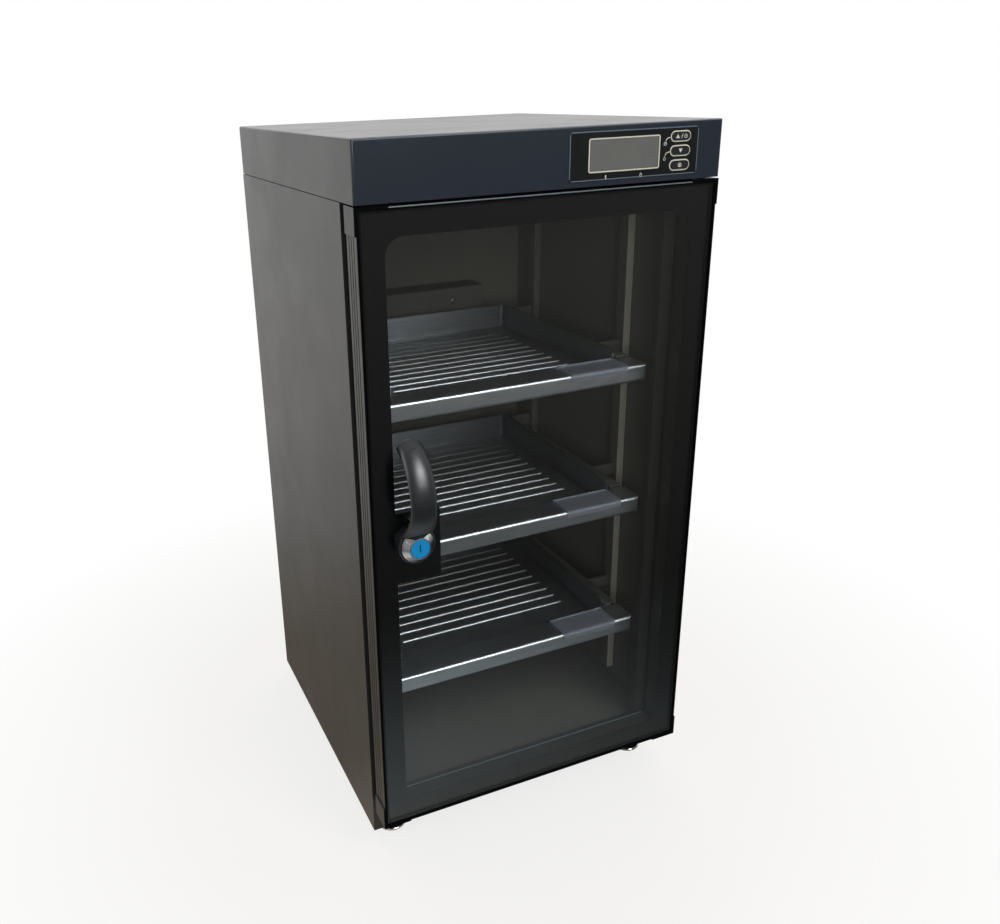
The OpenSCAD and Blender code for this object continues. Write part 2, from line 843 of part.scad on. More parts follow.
// How far a cutting shape reaches past a tray's walls
past_wall = 60;
past_back = 10;

// The space over a side wall: its top edge falls towards the front
module over_walls(z, y0, y1) {
    zb = z + wall_up;
    along_x(-half_w, half_w) {
        polygon([[y0, zb - basin_fall], [y1, zb], [y1, zb + past_wall], [y0, zb + past_wall]]);
    }
}

// The pressed basin with its ribs, turned rim and the runners of its slides
module basin(i) {
    z = tray_z(i);
    x = basin_w / 2;
    z0 = z - nose_h - tray_t;
    rim_z = z + wall_up - tray_t;
    ribs_y = [basin_y0 + rib_front : rib_pitch : basin_y1 - rib_pitch];
    rib_x = x - tray_t - rib_side;
    color("#9c9fa1") {
        difference() {
            union() {
                difference() {
                    along_z(z0, z + wall_up) rounded([-x, basin_y0], [x, basin_y1], basin_r);
                    along_z(z0 + tray_t, z + wall_up + eps) {
                        rounded([-x + tray_t, basin_y0 + tray_t],
                                [x - tray_t, basin_y1 - tray_t], basin_r - tray_t);
                    }
                    over_walls(z, basin_y0 - eps, basin_y1 + eps);
                    block([-x - eps, basin_y0 - eps, z],
                          [x + eps, basin_y0 + basin_r, z + wall_up + eps]);
                }
                difference() {
                    along_z(z, z + wall_up) {
                        rounded([-x - rim_w, basin_y0 + basin_r],
                                [x + rim_w, basin_y1 + rim_w], basin_r + rim_w);
                    }
                    along_z(z - eps, z + wall_up + eps) {
                        rounded([-x + tray_t / 2, basin_y0],
                                [x - tray_t / 2, basin_y1 - tray_t / 2], basin_r);
                    }
                    over_walls(z, basin_y0 - eps, basin_y1 + basin_r);
                    translate([0, 0, -tray_t]) under_rim(z);
                    block([-half_w, basin_y0 - eps, z - 1],
                          [half_w, basin_y0 + 2 * basin_r, z + wall_up + eps]);
                }
                for (y = ribs_y) {
                    rib(y, z0 + tray_t, rib_x, rib_r);
                }
            }
            for (y = ribs_y) {
                rib(y, z0 + tray_t, rib_x, rib_r - tray_t);
            }
        }
        both_sides() runner(z + slide_mid);
    }
}

// The space under the turned rim
module under_rim(z) {
    zb = z + wall_up;
    along_x(-half_w, half_w) {
        polygon([[basin_y0 - 1, zb - past_wall], [basin_y1 + past_back, zb - past_wall],
                 [basin_y1 + past_back, zb], [basin_y1, zb],
                 [basin_y0 - 1, zb - basin_fall]]);
    }
}

// A pressed bead across the floor, half sunk in it
module rib(y, z, x, r) {
    translate([0, y, z + rib_h - rib_r]) {
        rotate([0, 90, 0]) cylinder(h = 2 * x, r = r, center = true);
        both_sides() translate([x, 0, 0]) sphere(r = r, $fn = 32);
    }
}

// The moving half of a slide, riveted along the basin's side
module runner(z) {
    x = basin_w / 2;
    neck = 3;
    h = channel_h / 2 - runner_play;
    block([x - eps, slide_y0 + 2, z - neck], [x + 6, basin_y1 - basin_r, z + neck]);
    block([x + 3.6, slide_y0 + 2, z - h],
          [slide_out - slide_t - runner_play, basin_y1 - basin_r, z + h]);
}

// The outline of the nose in depth and height, wound round its rounded front
module nose_outline(z, inset) {
    r = nose_r - inset * 0.9;
    y0 = nose_y + inset;
    z0 = z - nose_h + inset;
    z1 = z - inset;
    polygon(concat(
        [[basin_y0 + (inset > 0 ? 1 : 0), z1]],
        arc_points([y0 + r, z1 - r], r, 90, 180, corner_n),
        arc_points([y0 + r, z0 + r], r, 180, 270, corner_n),
        inset > 0
            ? [[nose_y + nose_return, z0], [nose_y + nose_return, z0 - 3], [basin_y0 + 1, z0 - 3]]
            : [[nose_y + nose_return, z0], [nose_y + nose_return, z0 + tray_t], [basin_y0, z0 + tray_t]]
    ));
}

// The outline of the nose seen from above, with its round front corners
module nose_plan(inset) {
    x = nose_w / 2 - inset;
    r = nose_corner - inset;
    y0 = nose_y + inset;
    polygon(concat(
        [[x, basin_y0 + 1]], [[-x, basin_y0 + 1]],
        arc_points([-x + r, y0 + r], r, 180, 270, corner_n),
        arc_points([x - r, y0 + r], r, 270, 360, corner_n)
    ));
}

// The folded nose across the front of a tray
module nose(i) {
    z = tray_z(i);
    color("#c3c5c4") difference() {
        intersection() {
            along_x(-nose_w / 2, nose_w / 2) nose_outline(z, 0);
            along_z(z - nose_h - 1, z + 1) nose_plan(0);
        }
        intersection() {
            along_x(-nose_w / 2 + tray_t, nose_w / 2 - tray_t) nose_outline(z, tray_t);
            along_z(z - nose_h - 5, z + 1) nose_plan(tray_t);
        }
    }
}

// The clear label holder on a nose: a plate, its ends and rear rail, and a lip over the front edge
module label_holder(i) {
    z = tray_z(i);
    x1 = nose_w / 2 - label_in;
    x0 = x1 - label_l;
    y0 = nose_y - label_t;
    y1 = basin_y0 - 1;
    color("#d8dde0") {
        block([x0, y0, z], [x1, y1, z + label_t]);
        block([x0, y0, z - nose_r - label_lip], [x1, nose_y, z + label_t]);
        for (x = [x0, x1 - label_t]) {
            block([x, y0, z], [x + label_t, y1, z + label_t + label_rail]);
        }
        block([x0, y1 - label_t, z], [x1, y1, z + label_t + label_rail]);
    }
}

// ---- Drying unit ----

module vent_slots(y0, y1, lift = 0) {
    for (k = [0:vent_count - 1]) {
        z = vent_z0 + k * vent_pitch + lift;
        for (x = [-vent_w / 2, 3]) {
            along_y(y0, y1) rounded([x, z], [x + vent_w / 2 - 3, z + vent_h], vent_h / 2 - eps);
        }
    }
}

dryer_screw_x = 60;
dryer_screw_in = 15.3;
dryer_screw_z = [dryer_z0 + dryer_screw_in, dryer_z1 - dryer_screw_in];
boss_wall = 3;
boss_d = 14;

// The walls of the drying unit, open to the cover in front and to the outlet behind
module dryer_housing() {
    x = dryer_w / 2;
    y0 = dryer_front + dryer_cover_t;
    color("#2c2c2d") {
        difference() {
            block([-x, y0, dryer_z0], [x, inner_back_y, dryer_z1]);
            block([-x + dryer_wall, y0 - eps, dryer_z0 + dryer_wall],
                  [x - dryer_wall, inner_back_y + eps, dryer_z1 - dryer_wall]);
        }
        for (s = [-1, 1]) {
            for (k = [0, 1]) {
                z = dryer_screw_z[k];
                wall_z = k == 0 ? dryer_z0 : dryer_z1;
                difference() {
                    union() {
                        rod_y(s * dryer_screw_x, z, y0, y0 + boss_d, screw_r + boss_wall);
                        block([s * dryer_screw_x - 1, y0, min(z, wall_z)],
                              [s * dryer_screw_x + 1, y0 + boss_d, max(z, wall_z)]);
                    }
                    rod_y(s * dryer_screw_x, z, y0 - eps, y0 + boss_d - 2, screw_r + fit);
                }
            }
        }
        both_sides() {
            block([shutter_x + shutter_play, y0, dryer_z0 + dryer_wall - eps],
                  [shutter_x + shutter_play + guide_t, inner_back_y, dryer_z1 - dryer_wall + eps]);
            block([shutter_x - guide_t, y0, dryer_z0 + dryer_wall - eps],
                  [shutter_x + shutter_play + guide_t, y0 + 3 * shutter_t, shutter_z0]);
        }
    }
}

// The cover of the drying unit, with the chamber's vents
module dryer_cover() {
    x = dryer_w / 2;
    color("#333334") difference() {
        block([-x, dryer_front, dryer_z0], [x, dryer_front + dryer_cover_t, dryer_z1]);
        vent_slots(dryer_front - eps, dryer_front + dryer_cover_t + eps);
        for (s = [-1, 1]) {
            for (z = dryer_screw_z) {
                rod_y(s * dryer_screw_x, z, dryer_front - eps,
                      dryer_front + dryer_cover_t + eps, screw_r + fit);
            }
        }
    }
}

vents_top = vent_z0 + (vent_count - 1) * vent_pitch + vent_h;
shutter_x = vent_w / 2 + 8;
shutter_z0 = vent_z0 - shutter_travel;
shutter_z1 = vents_top + shutter_travel;
guide_t = 1.5;
core_gap = 4;             // between the desiccant and the walls in front and behind
core_z0 = vent_z0 + 12;
core_leg_in = 14;         // from the desiccant's side to its leg
// The two linked shutters: the front vents are open while the outlet is shut, and the reverse
module dryer_shutter() {
    y0 = dryer_front + dryer_cover_t + shutter_play;
    y1 = inner_back_y - shutter_play;
    color("#b9a46a") {
        difference() {
            union() {
                block([-shutter_x, y0, shutter_z0], [shutter_x, y0 + shutter_t, shutter_z1]);
                block([-shutter_x, y1 - shutter_t, shutter_z0], [shutter_x, y1, shutter_z1]);
            }
            vent_slots(y0 - eps, y0 + shutter_t + eps);
            vent_slots(y1 - shutter_t - eps, y1 + eps, -shutter_travel);
        }
        both_sides() {
            block([shutter_x - shutter_t, y0, shutter_z0], [shutter_x, y1, shutter_z0 + vent_pitch]);
        }
    }
}

// The desiccant cartridge between the shutters, on feet from the housing's floor
module desiccant_block() {
    x = vent_w / 2;
    y0 = dryer_front + dryer_cover_t + core_gap;
    y1 = inner_back_y - core_gap;
    cells = 9;
    rim = 6;
    pitch = (2 * x - rim) / cells;
    color("#d9d4c6") {
        difference() {
            block([-x, y0, core_z0], [x, y1, vents_top]);
            for (k = [0:cells - 1]) {
                block([-x + rim + k * pitch, y0 - eps, core_z0 + rim],
                      [-x + (k + 1) * pitch, y0 + rim, vents_top - rim]);
            }
        }
        both_sides() {
            block([x - core_leg_in - rim, y0 + rim, dryer_z0 + dryer_wall],
                  [x - core_leg_in, y1 - rim, core_z0 + eps]);
        }
    }
}

// The heater plate under the cartridge, with its fins
module dryer_heater() {
    leg_gap = 12;
    x = vent_w / 2 - core_leg_in - leg_gap;
    d = 18;
    y0 = dryer_front + dryer_cover_t + 2 * core_gap;
    plate_h = 4;
    fin_t = 1.2;
    fin_pitch = 5.5;
    fin_h = 14;
    core_above = 2;
    z1 = core_z0 - core_above;
    z0 = z1 - plate_h - fin_h;
    color("#a9adb0") {
        block([-x, y0, z0], [x, y0 + d, z0 + plate_h]);
        for (fin_x = [-x : fin_pitch : x - fin_t]) {
            block([fin_x, y0, z0 + plate_h - eps], [fin_x + fin_t, y0 + d, z1]);
        }
        both_sides() {
            block([x - 2 * plate_h, y0 + fin_pitch, dryer_z0 + dryer_wall],
                  [x - plate_h, y0 + d - fin_pitch, z0 + eps]);
        }
    }
}

// The humidity sensor: a small vented cap under the chamber's ceiling
module humidity_sensor() {
    left = 60;
    back = 150;
    w = 30;
    d = 20;
    h = 11;
    slot = 2;
    pitch = 5;
    slot_up = 2;
    slot_down = 3;
    x0 = -left - w / 2;
    y0 = frame_y + back - d / 2;
    color("#26282a") difference() {
        block([x0, y0, ceiling_z - h], [x0 + w, y0 + d, ceiling_z]);
        for (x = [x0 + 2 * slot : pitch : x0 + w - 2 * slot]) {
            block([x, y0 - eps, ceiling_z - h + slot_up],
                  [x + slot, y0 + d + eps, ceiling_z - slot_down]);
        }
    }
}

// ---- Hinges ----

// The flat arm of a hinge bracket, round at the pin
module hinge_arm(y1) {
    translate([hinge_x, hinge_y]) circle(r = arm_r);
    translate([hinge_x - arm_r, hinge_y]) square([2 * arm_r, y1 - hinge_y]);
}

// Hangs from the back of the front frame and drops its pin through the cover's lip
module hinge_bracket_top() {
    z = cover_z + sheet_t;
    color("#8b8f92") {
        along_z(z, z + plate_t) hinge_arm(leg_y + plate_t);
        block([hinge_x - arm_r, leg_y, open_z1 + 6], [hinge_x + arm_r, leg_y + plate_t, z + plate_t]);
        translate([hinge_x, hinge_y, door_z1 - pin_l])
            cylinder(h = z - door_z1 + pin_l + eps, r = pin_d / 2);
    }
}

// Screwed to the front frame under the door, which turns on its pin and washer
module hinge_bracket_bottom() {
    z1 = door_z0 - washer_gap - washer_t;
    color("#8b8f92") difference() {
        union() {
            along_z(z1 - plate_t, z1) hinge_arm(frame_y);
            block([hinge_x - arm_r, frame_y - plate_t, base_z + 4], [hinge_x + arm_r, frame_y, z1]);
            translate([hinge_x, hinge_y, z1 - eps])
                cylinder(h = washer_t + eps, r = pin_d / 2 + bush_wall);
            translate([hinge_x, hinge_y, z1 - eps]) {
                cylinder(h = washer_t + washer_gap + pin_l, r = pin_d / 2);
            }
        }
        for (z = [12, 22]) {
            rod_y(hinge_x, base_z + z, frame_y - plate_t - eps, frame_y + eps, screw_r + fit);
        }
    }
}

// A plain bush pressed into each corner cap on the hinge side
module hinge_bushes() {
    color("#e4e2da") {
        for (z = [door_z0, door_z1 - bush_l]) {
            translate([hinge_x, hinge_y, z]) difference() {
                cylinder(h = bush_l, r = pin_d / 2 + bush_wall);
                translate([0, 0, -eps]) cylinder(h = bush_l + 2 * eps, r = pin_d / 2 + run_gap);
            }
        }
    }
}

// ---- Door ----

// Section of a door profile: x inward from the door's edge, y back from its front
module profile(slot_u) {
    difference() {
        union() {
            square([profile_wall, door_t]);
            square([lip_w, lip_t]);
            translate([0, seat_v]) square([profile_w, door_t - seat_v]);
        }
        translate([profile_wall, seat_v + profile_wall]) {
            square([profile_w - 2 * profile_wall, door_t - seat_v - 2 * profile_wall]);
        }
        translate([slot_u - dart_w / 2 - fit, door_t - profile_wall - eps]) {
            square([dart_w + 2 * fit, profile_wall + 2 * eps]);
        }
        for (v = [0.3 * door_t, 0.52 * door_t, 0.74 * door_t]) {
            translate([-eps, v]) square([groove_d, groove_w]);
        }
    }
}

side_slot_u = gasket_in + gasket_w / 2 - cap_proud;
low_slot_u = gasket_low_in + gasket_w / 2 - cap_proud;

module door_stile_left() {
    color("#33342f") translate([-half_w + cap_proud, front_y, door_z0 + cap_h]) {
        linear_extrude(door_z1 - door_z0 - 2 * cap_h) profile(side_slot_u);
    }
}

module door_stile_right() {
    color("#33342f") translate([half_w - cap_proud, front_y, door_z0 + cap_h]) mirror([1, 0, 0]) {
        linear_extrude(door_z1 - door_z0 - 2 * cap_h) profile(side_slot_u);
    }
}

module door_rail_top() {
    color("#23251f") along_x(-half_w + cap_l, half_w - cap_l) {
        translate([front_y, door_z1 - cap_proud]) rotate(-90) profile(side_slot_u);
    }
}

module door_rail_bottom() {
    color("#23251f") along_x(-half_w + cap_l, half_w - cap_l) {
        translate([front_y, door_z0 + cap_proud]) mirror([1, -1]) profile(low_slot_u);
    }
}

// A corner cap in its own frame: x and z inward from the door's corner, y back from its front
module corner_cap_form() {
    s0 = edge_in + fit;
    s1 = cap_proud + profile_w - profile_wall - fit;
    v0 = seat_v + profile_wall + fit;
    v1 = door_t - profile_wall - fit;
    block([0, seat_v, 0], [cap_l, door_t, cap_h]);
    block([0, 0, 0], [edge_in, door_t, cap_h]);
    block([0, 0, 0], [cap_l, door_t, edge_in]);
    block([0, 0, 0], [cap_proud + lip_w, lip_t, cap_h]);
    block([0, 0, 0], [cap_l, lip_t, cap_proud + lip_w]);
    difference() {
        union() {
            block([s0, v0, cap_h - eps], [s1, v1, cap_h + spigot_l]);
            block([cap_l - eps, v0, s0], [cap_l + spigot_l, v1, s1]);
        }
        block([s0 + 2, v0 + 2, cap_h + 2], [s1 - 2, v1 - 2, cap_h + spigot_l + eps]);
        block([cap_l + 2, v0 + 2, s0 + 2], [cap_l + spigot_l + eps, v1 - 2, s1 - 2]);
    }
}

// Puts a corner cap at one corner of the door; side is -1 or 1 and level is -1 or 1
module corner_cap(side, level) {
    z = level > 0 ? door_z1 : door_z0;
    color("#1d1f1d") difference() {
        translate([side * half_w, front_y, z])
        mirror([side > 0 ? 1 : 0, 0, 0]) mirror([0, 0, level > 0 ? 1 : 0]) {
            corner_cap_form();
        }
        if (side > 0) {
            translate([hinge_x, hinge_y, level > 0 ? door_z1 - bush_l : door_z0 - eps]) {
                cylinder(h = bush_l + eps, r = pin_d / 2 + bush_wall);
            }
        }
    }
}

module pane(inset, r) {
    x = half_w - edge_in - fit - inset;
    rounded([-x, door_z0 + edge_in + fit + inset], [x, door_z1 - edge_in - fit - inset], r);
}

// The glass pane, drilled for the lock and for the handle's screw
module door_glass() {
    y0 = front_y + lip_t;
    color("#9fb0ac", 0.35) difference() {
        along_y(y0, y0 + glass_t) pane(0, 2);
        rod_y(handle_x, lock_z, y0 - eps, y0 + glass_t + eps, barrel_r + 0.4);
        rod_y(handle_x, lock_z + grip_span, y0 - eps, y0 + glass_t + eps, screw_r + 0.6);
    }
}

// The black border behind the pane, with the tab that hides the lock
module glass_border() {
    y0 = front_y + lip_t + glass_t + film_gap;
    x = half_w - border_w;
    color("#0c0d0d") along_y(y0, y0 + mask_t - film_gap) difference() {
        pane(0.4, 2);
        difference() {
            rounded([-x, door_z0 + border_w], [x, door_z1 - border_w], window_r, corner_n);
            rounded([-half_w, lock_z - tab_low], [handle_x + tab_side, lock_z + tab_high], tab_r);
        }
        translate([handle_x, lock_z]) circle(r = barrel_r + 0.4);
    }
}

// The frame-shaped ring that the gasket follows
module gasket_ring(inset, w) {
    x = half_w - gasket_in - inset;
    z0 = door_z0 + gasket_low_in + inset;
    z1 = door_z1 - gasket_in - inset;
    difference() {
        rounded([-x, z0], [x, z1], 2);
        rounded([-x + w, z0 + w], [x - w, z1 - w], 1);
    }
}

// The magnetic gasket: bellows, magnet strip and the darts that clip into the profiles
module door_gasket() {
    y0 = front_y + door_t;
    y1 = frame_y - gasket_touch;
    dart_x = half_w - gasket_in - gasket_w / 2;
    dart_z0 = door_z0 + gasket_low_in + gasket_w / 2;
    dart_z1 = door_z1 - gasket_in - gasket_w / 2;
    end = spigot_l + 2;
    color("#141414") {
        along_y(y0, y0 + 1) gasket_ring(1, gasket_w - 2);
        along_y(y0 + 1 - eps, y1 - magnet_t + eps) gasket_ring(2.4, gasket_w - 4.8);
        along_y(y1 - magnet_t, y1) gasket_ring(0, gasket_w);
        both_sides() along_z(door_z0 + cap_h + end, door_z1 - cap_h - end) dart([dart_x, y0]);
        along_x(-half_w + cap_l + end, half_w - cap_l - end) {
            dart_across([y0, dart_z0]);
            dart_across([y0, dart_z1]);
        }
    }
}

// A dart that points to the front, drawn in x and y
module dart(p) {
    translate([p[0] - dart_w / 2, p[1] - profile_wall - fit]) square([dart_w, profile_wall + fit + eps]);
    translate([p[0] - dart_head_w / 2,
               p[1] - profile_wall - fit - dart_head_t]) square([dart_head_w, dart_head_t]);
}

// The same dart, drawn in y and z
module dart_across(p) {
    translate([p[0] - profile_wall - fit, p[1] - dart_w / 2]) square([profile_wall + fit + eps, dart_w]);
    translate([p[0] - profile_wall - fit - dart_head_t,
               p[1] - dart_head_w / 2]) square([dart_head_t, dart_head_w]);
}

// ---- Handle and lock ----

// The bow handle: a skin lofted along its curve, over a round boss that seats the lock
module door_handle() {
    count = grip_sides;
    last = grip_steps * count;
    points = [for (ring = grip_skin) for (p = ring) [handle_x + p[0], front_y - p[1], lock_z + p[2]]];
    sides = [
        for (i = [0:grip_steps - 1]) for (j = [0:count - 1])
            let (a = i * count + j, b = i * count + (j + 1) % count)
            [b, a, a + count, b + count]
    ];
    ends = [[for (j = [0:count - 1]) j], [for (j = [count - 1:-1:0]) last + j]];
    color("#26272a") difference() {
        union() {
            polyhedron(points, concat(sides, ends));
            turned(handle_x, lock_z) {
                polygon([[0, -lip_t], [boss_r, -lip_t], [boss_r, ring_seat + boss_rim - 0.8],
                         [boss_r - 0.8, ring_seat + boss_rim], [0, ring_seat + boss_rim]]);
            }
        }
        rod_y(handle_x, lock_z, front_y - 2 * grip_out, front_y - ring_seat, seat_r);
        rod_y(handle_x, lock_z, front_y - 2 * grip_out, front_y + lip_t + eps, barrel_r + fit);
        block([handle_x - 2 * grip_w, front_y + lip_t, lock_z - 2 * boss_r],
              [handle_x + 2 * grip_w, front_y + 2 * grip_out, lock_z + grip_span + foot_len]);
        rod_y(handle_x, lock_z + grip_span, front_y - 9, front_y + lip_t + eps, screw_r + fit / 2);
    }
}

// The screw that holds the handle's upper foot through the pane
module handle_screw() {
    y = front_y + lip_t + glass_t;
    color("#1c1c1d") {
        rod_y(handle_x, lock_z + grip_span, y, y + 1, screw_head_r + 1.8);
        rod_y(handle_x, lock_z + grip_span, y, y + 1 + screw_head_h, screw_head_r);
        rod_y(handle_x, lock_z + grip_span, y - glass_t - lip_t - 8, y + eps, screw_r);
    }
}

// The lock's fixed part: chrome ring and barrel
module lock_housing() {
    color("#c8cacb") turned(handle_x, lock_z) {
        polygon([
            [core_r + run_gap, -barrel_back], [barrel_r, -barrel_back], [barrel_r, ring_seat],
            [ring_r, ring_seat], [ring_r, ring_seat + ring_edge],
            [ring_r - 0.8, ring_seat + ring_edge + 0.8],
            [disc_r + 0.9, ring_top], [disc_r + 0.3, ring_top - 0.2],
            [disc_r + 0.3, ring_top - disc_t - 0.5],
            [core_r + run_gap, ring_top - disc_t - 0.5],
        ]);
    }
}

// The nut that clamps the lock and the handle to the pane
module lock_nut() {
    y = front_y + seat_v;
    color("#a8abad") difference() {
        translate([handle_x, y + nut_t, lock_z]) rotate([90, 0, 0])
            cylinder(h = nut_t, r = nut_r, $fn = 6);
        rod_y(handle_x, lock_z, y - eps, y + nut_t + eps, barrel_r + 0.05);
    }
}

// The turning core, with its blue face and the slot for the key
module lock_cylinder() {
    face = ring_top - disc_t - 0.4;
    color("#1b6fa8") difference() {
        turned(handle_x, lock_z) {
            polygon([[0, -cam_back], [core_r, -cam_back], [core_r, face], [disc_r, face],
                     [disc_r, face + disc_t - 0.3], [disc_r - 0.3, face + disc_t], [0, face + disc_t]]);
        }
        block([handle_x - 0.6, front_y - ring_top - 1, lock_z - 3.5],
              [handle_x + 0.6, front_y - ring_top + 6, lock_z + 3.5]);
    }
}

// The cam and its screw; it hangs down while the door is unlocked
module lock_cam() {
    y0 = front_y + cam_back;
    tip_r = 4.5;
    color("#b9bcbe") {
        along_y(y0, y0 + cam_t) {
            translate([handle_x, lock_z]) circle(r = cam_w / 2);
            polygon([
                [handle_x - cam_w / 2, lock_z], [handle_x - tip_r, lock_z - cam_l + 2],
                [handle_x - tip_r + 2, lock_z - cam_l], [handle_x + tip_r - 2, lock_z - cam_l],
                [handle_x + tip_r, lock_z - cam_l + 2], [handle_x + cam_w / 2, lock_z],
            ]);
        }
        rod_y(handle_x, lock_z, y0, y0 + cam_t + screw_head_h, screw_head_r);
    }
}

// The strike plate on the lip of the left upright
module lock_keeper() {
    x0 = -half_w + stile_w;
    color("#8b8f92") difference() {
        block([x0, frame_y + 0.5, lock_z - keeper_h / 2 - 6],
              [x0 + keeper_t, frame_y + keeper_d, lock_z + keeper_h / 2 - 6]);
        cam_slot(x0 - eps, x0 + keeper_t + eps);
    }
}

// ---- Feet ----

// One levelling foot: disc, jam nut and threaded stud
module levelling_foot(sx, iy) {
    edge = 2.4;
    color("#c6c8c9") translate([sx * (half_w - foot_in), foot_y[iy], 0]) {
        rotate_extrude() polygon([
            [0, 0], [foot_r - 0.6, 0], [foot_r, 0.6], [foot_r, edge], [foot_r - 0.8, edge + 0.8],
            [stud_r + 3, foot_h * 0.5], [stud_r, foot_h * 0.5 + 0.6], [stud_r, foot_h + 18],
                [0, foot_h + 18],
        ]);
        translate([0, 0, foot_h * 0.55]) cylinder(h = foot_h * 0.3, r = stud_r + 2.6, $fn = 6);
    }
}

side_panel_left();
side_panel_right();
back_panel();
base_panel();
chamber_floor();
front_sill();
front_lintel();
ceiling_panel();
top_cover();
control_panel();
display_window();
control_board();
power_supply();
power_inlet();
machine_screws();
wall_uprights();
tray_slides();
dryer_housing();
dryer_cover();
desiccant_block();
dryer_heater();
humidity_sensor();
hinge_bracket_top();
hinge_bracket_bottom();
lock_keeper();
door_stile_left();
door_stile_right();
door_rail_top();
door_rail_bottom();
corner_cap(-1, 1);  // corner_cap_top_left
corner_cap(1, 1);  // corner_cap_top_right
corner_cap(-1, -1);  // corner_cap_bottom_left
corner_cap(1, -1);  // corner_cap_bottom_right
door_glass();
glass_border();
door_gasket();
door_handle();
handle_screw();
lock_housing();
lock_nut();
hinge_bushes();
lock_cylinder();
lock_cam();
button(0);  // button_up
button(1);  // button_down
button(2);  // button_set
dryer_shutter();
basin(0);  // top_tray_basin
nose(0);  // top_tray_nose
label_holder(0);  // top_tray_label_holder
basin(1);  // middle_tray_basin
nose(1);  // middle_tray_nose
label_holder(1);  // middle_tray_label_holder
basin(2);  // bottom_tray_basin
nose(2);  // bottom_tray_nose
label_holder(2);  // bottom_tray_label_holder
levelling_foot(-1, 0);  // foot_front_left
levelling_foot(1, 0);  // foot_front_right
levelling_foot(-1, 1);  // foot_rear_left
levelling_foot(1, 1);  // foot_rear_right
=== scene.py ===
"""An electronic dry cabinet, dressed for its portrait: materials, printed marks and screws.

Metres throughout. X to the right, Y to the back, Z up.
"""
import json
import math

import bmesh
import bpy
from mathutils import Matrix, Vector


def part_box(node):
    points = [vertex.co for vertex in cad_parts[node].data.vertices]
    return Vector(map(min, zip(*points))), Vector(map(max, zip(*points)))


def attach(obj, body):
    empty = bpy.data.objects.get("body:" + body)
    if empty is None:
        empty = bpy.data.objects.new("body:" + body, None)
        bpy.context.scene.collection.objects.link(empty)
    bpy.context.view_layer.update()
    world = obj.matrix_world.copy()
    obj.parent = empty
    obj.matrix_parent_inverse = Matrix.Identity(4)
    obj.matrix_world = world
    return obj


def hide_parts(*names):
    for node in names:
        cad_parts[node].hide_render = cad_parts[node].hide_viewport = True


MM = 0.001

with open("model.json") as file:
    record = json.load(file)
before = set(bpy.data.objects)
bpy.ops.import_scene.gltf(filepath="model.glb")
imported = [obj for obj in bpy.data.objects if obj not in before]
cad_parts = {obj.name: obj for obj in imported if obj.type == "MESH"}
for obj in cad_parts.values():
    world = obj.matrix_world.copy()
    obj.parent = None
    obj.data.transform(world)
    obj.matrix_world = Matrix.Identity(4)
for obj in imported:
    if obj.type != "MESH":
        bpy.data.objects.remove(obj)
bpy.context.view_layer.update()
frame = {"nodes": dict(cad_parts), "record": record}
NODES = frame["nodes"]

BUTTONS = ("button_up", "button_down", "button_set")
CORNER_CAPS = tuple(f"corner_cap_{v}_{h}" for v in ("top", "bottom") for h in ("left", "right"))

# The lower left corner of the closed cabinet's front, which the camera was solved against
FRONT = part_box("top_cover")[0].y
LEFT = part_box("side_panel_left")[0].x
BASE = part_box("side_panel_left")[0].z

# Where the side panels start and the back ends, the sheet's gauge and the fold at the front
BODY_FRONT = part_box("side_panel_left")[0].y
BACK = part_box("back_panel")[1].y
SHEET = 1.2 * MM
RETURN = 12 * MM


# ---------------------------------------------------------------- camera

PHOTO_WIDTH = 1000
FOCAL_PX = 924.7
SENSOR_WIDTH = 36.0
CENTRE_SHIFT = (0.09357, -0.03443)
CAMERA_FROM_CORNER = Vector((-0.2321, -0.6691, 0.7051))
CAMERA_TURN = math.radians(21.88)
CAMERA_DOWN = math.radians(20.21)
CAMERA_ROLL = math.radians(-1.97)


def add_camera():
    """The photograph's viewpoint, relative to the cabinet's lower left front corner."""
    data = bpy.data.cameras.new("camera")
    data.sensor_width = SENSOR_WIDTH
    data.lens = FOCAL_PX / PHOTO_WIDTH * SENSOR_WIDTH
    data.shift_x, data.shift_y = CENTRE_SHIFT
    data.clip_end = 50
    camera = bpy.data.objects.new("camera", data)
    turn = Matrix.Rotation(-CAMERA_TURN, 4, "Z")
    tilt = Matrix.Rotation(math.pi / 2 - CAMERA_DOWN, 4, "X")
    roll = Matrix.Rotation(CAMERA_ROLL, 4, "Z")
    place = Vector((LEFT, FRONT, BASE)) + CAMERA_FROM_CORNER
    camera.matrix_world = Matrix.Translation(place) @ turn @ tilt @ roll
    bpy.context.scene.collection.objects.link(camera)
    bpy.context.scene.camera = camera


# ---------------------------------------------------------------- nodes of a material

def srgb(r, g, b):
    """A linear colour from 0-255 display values."""
    def linear(c):
        c /= 255
        return c / 12.92 if c <= 0.04045 else ((c + 0.055) / 1.055) ** 2.4
    return (linear(r), linear(g), linear(b), 1.0)


def scaled(colour, k):
    return (colour[0] * k, colour[1] * k, colour[2] * k, 1.0)


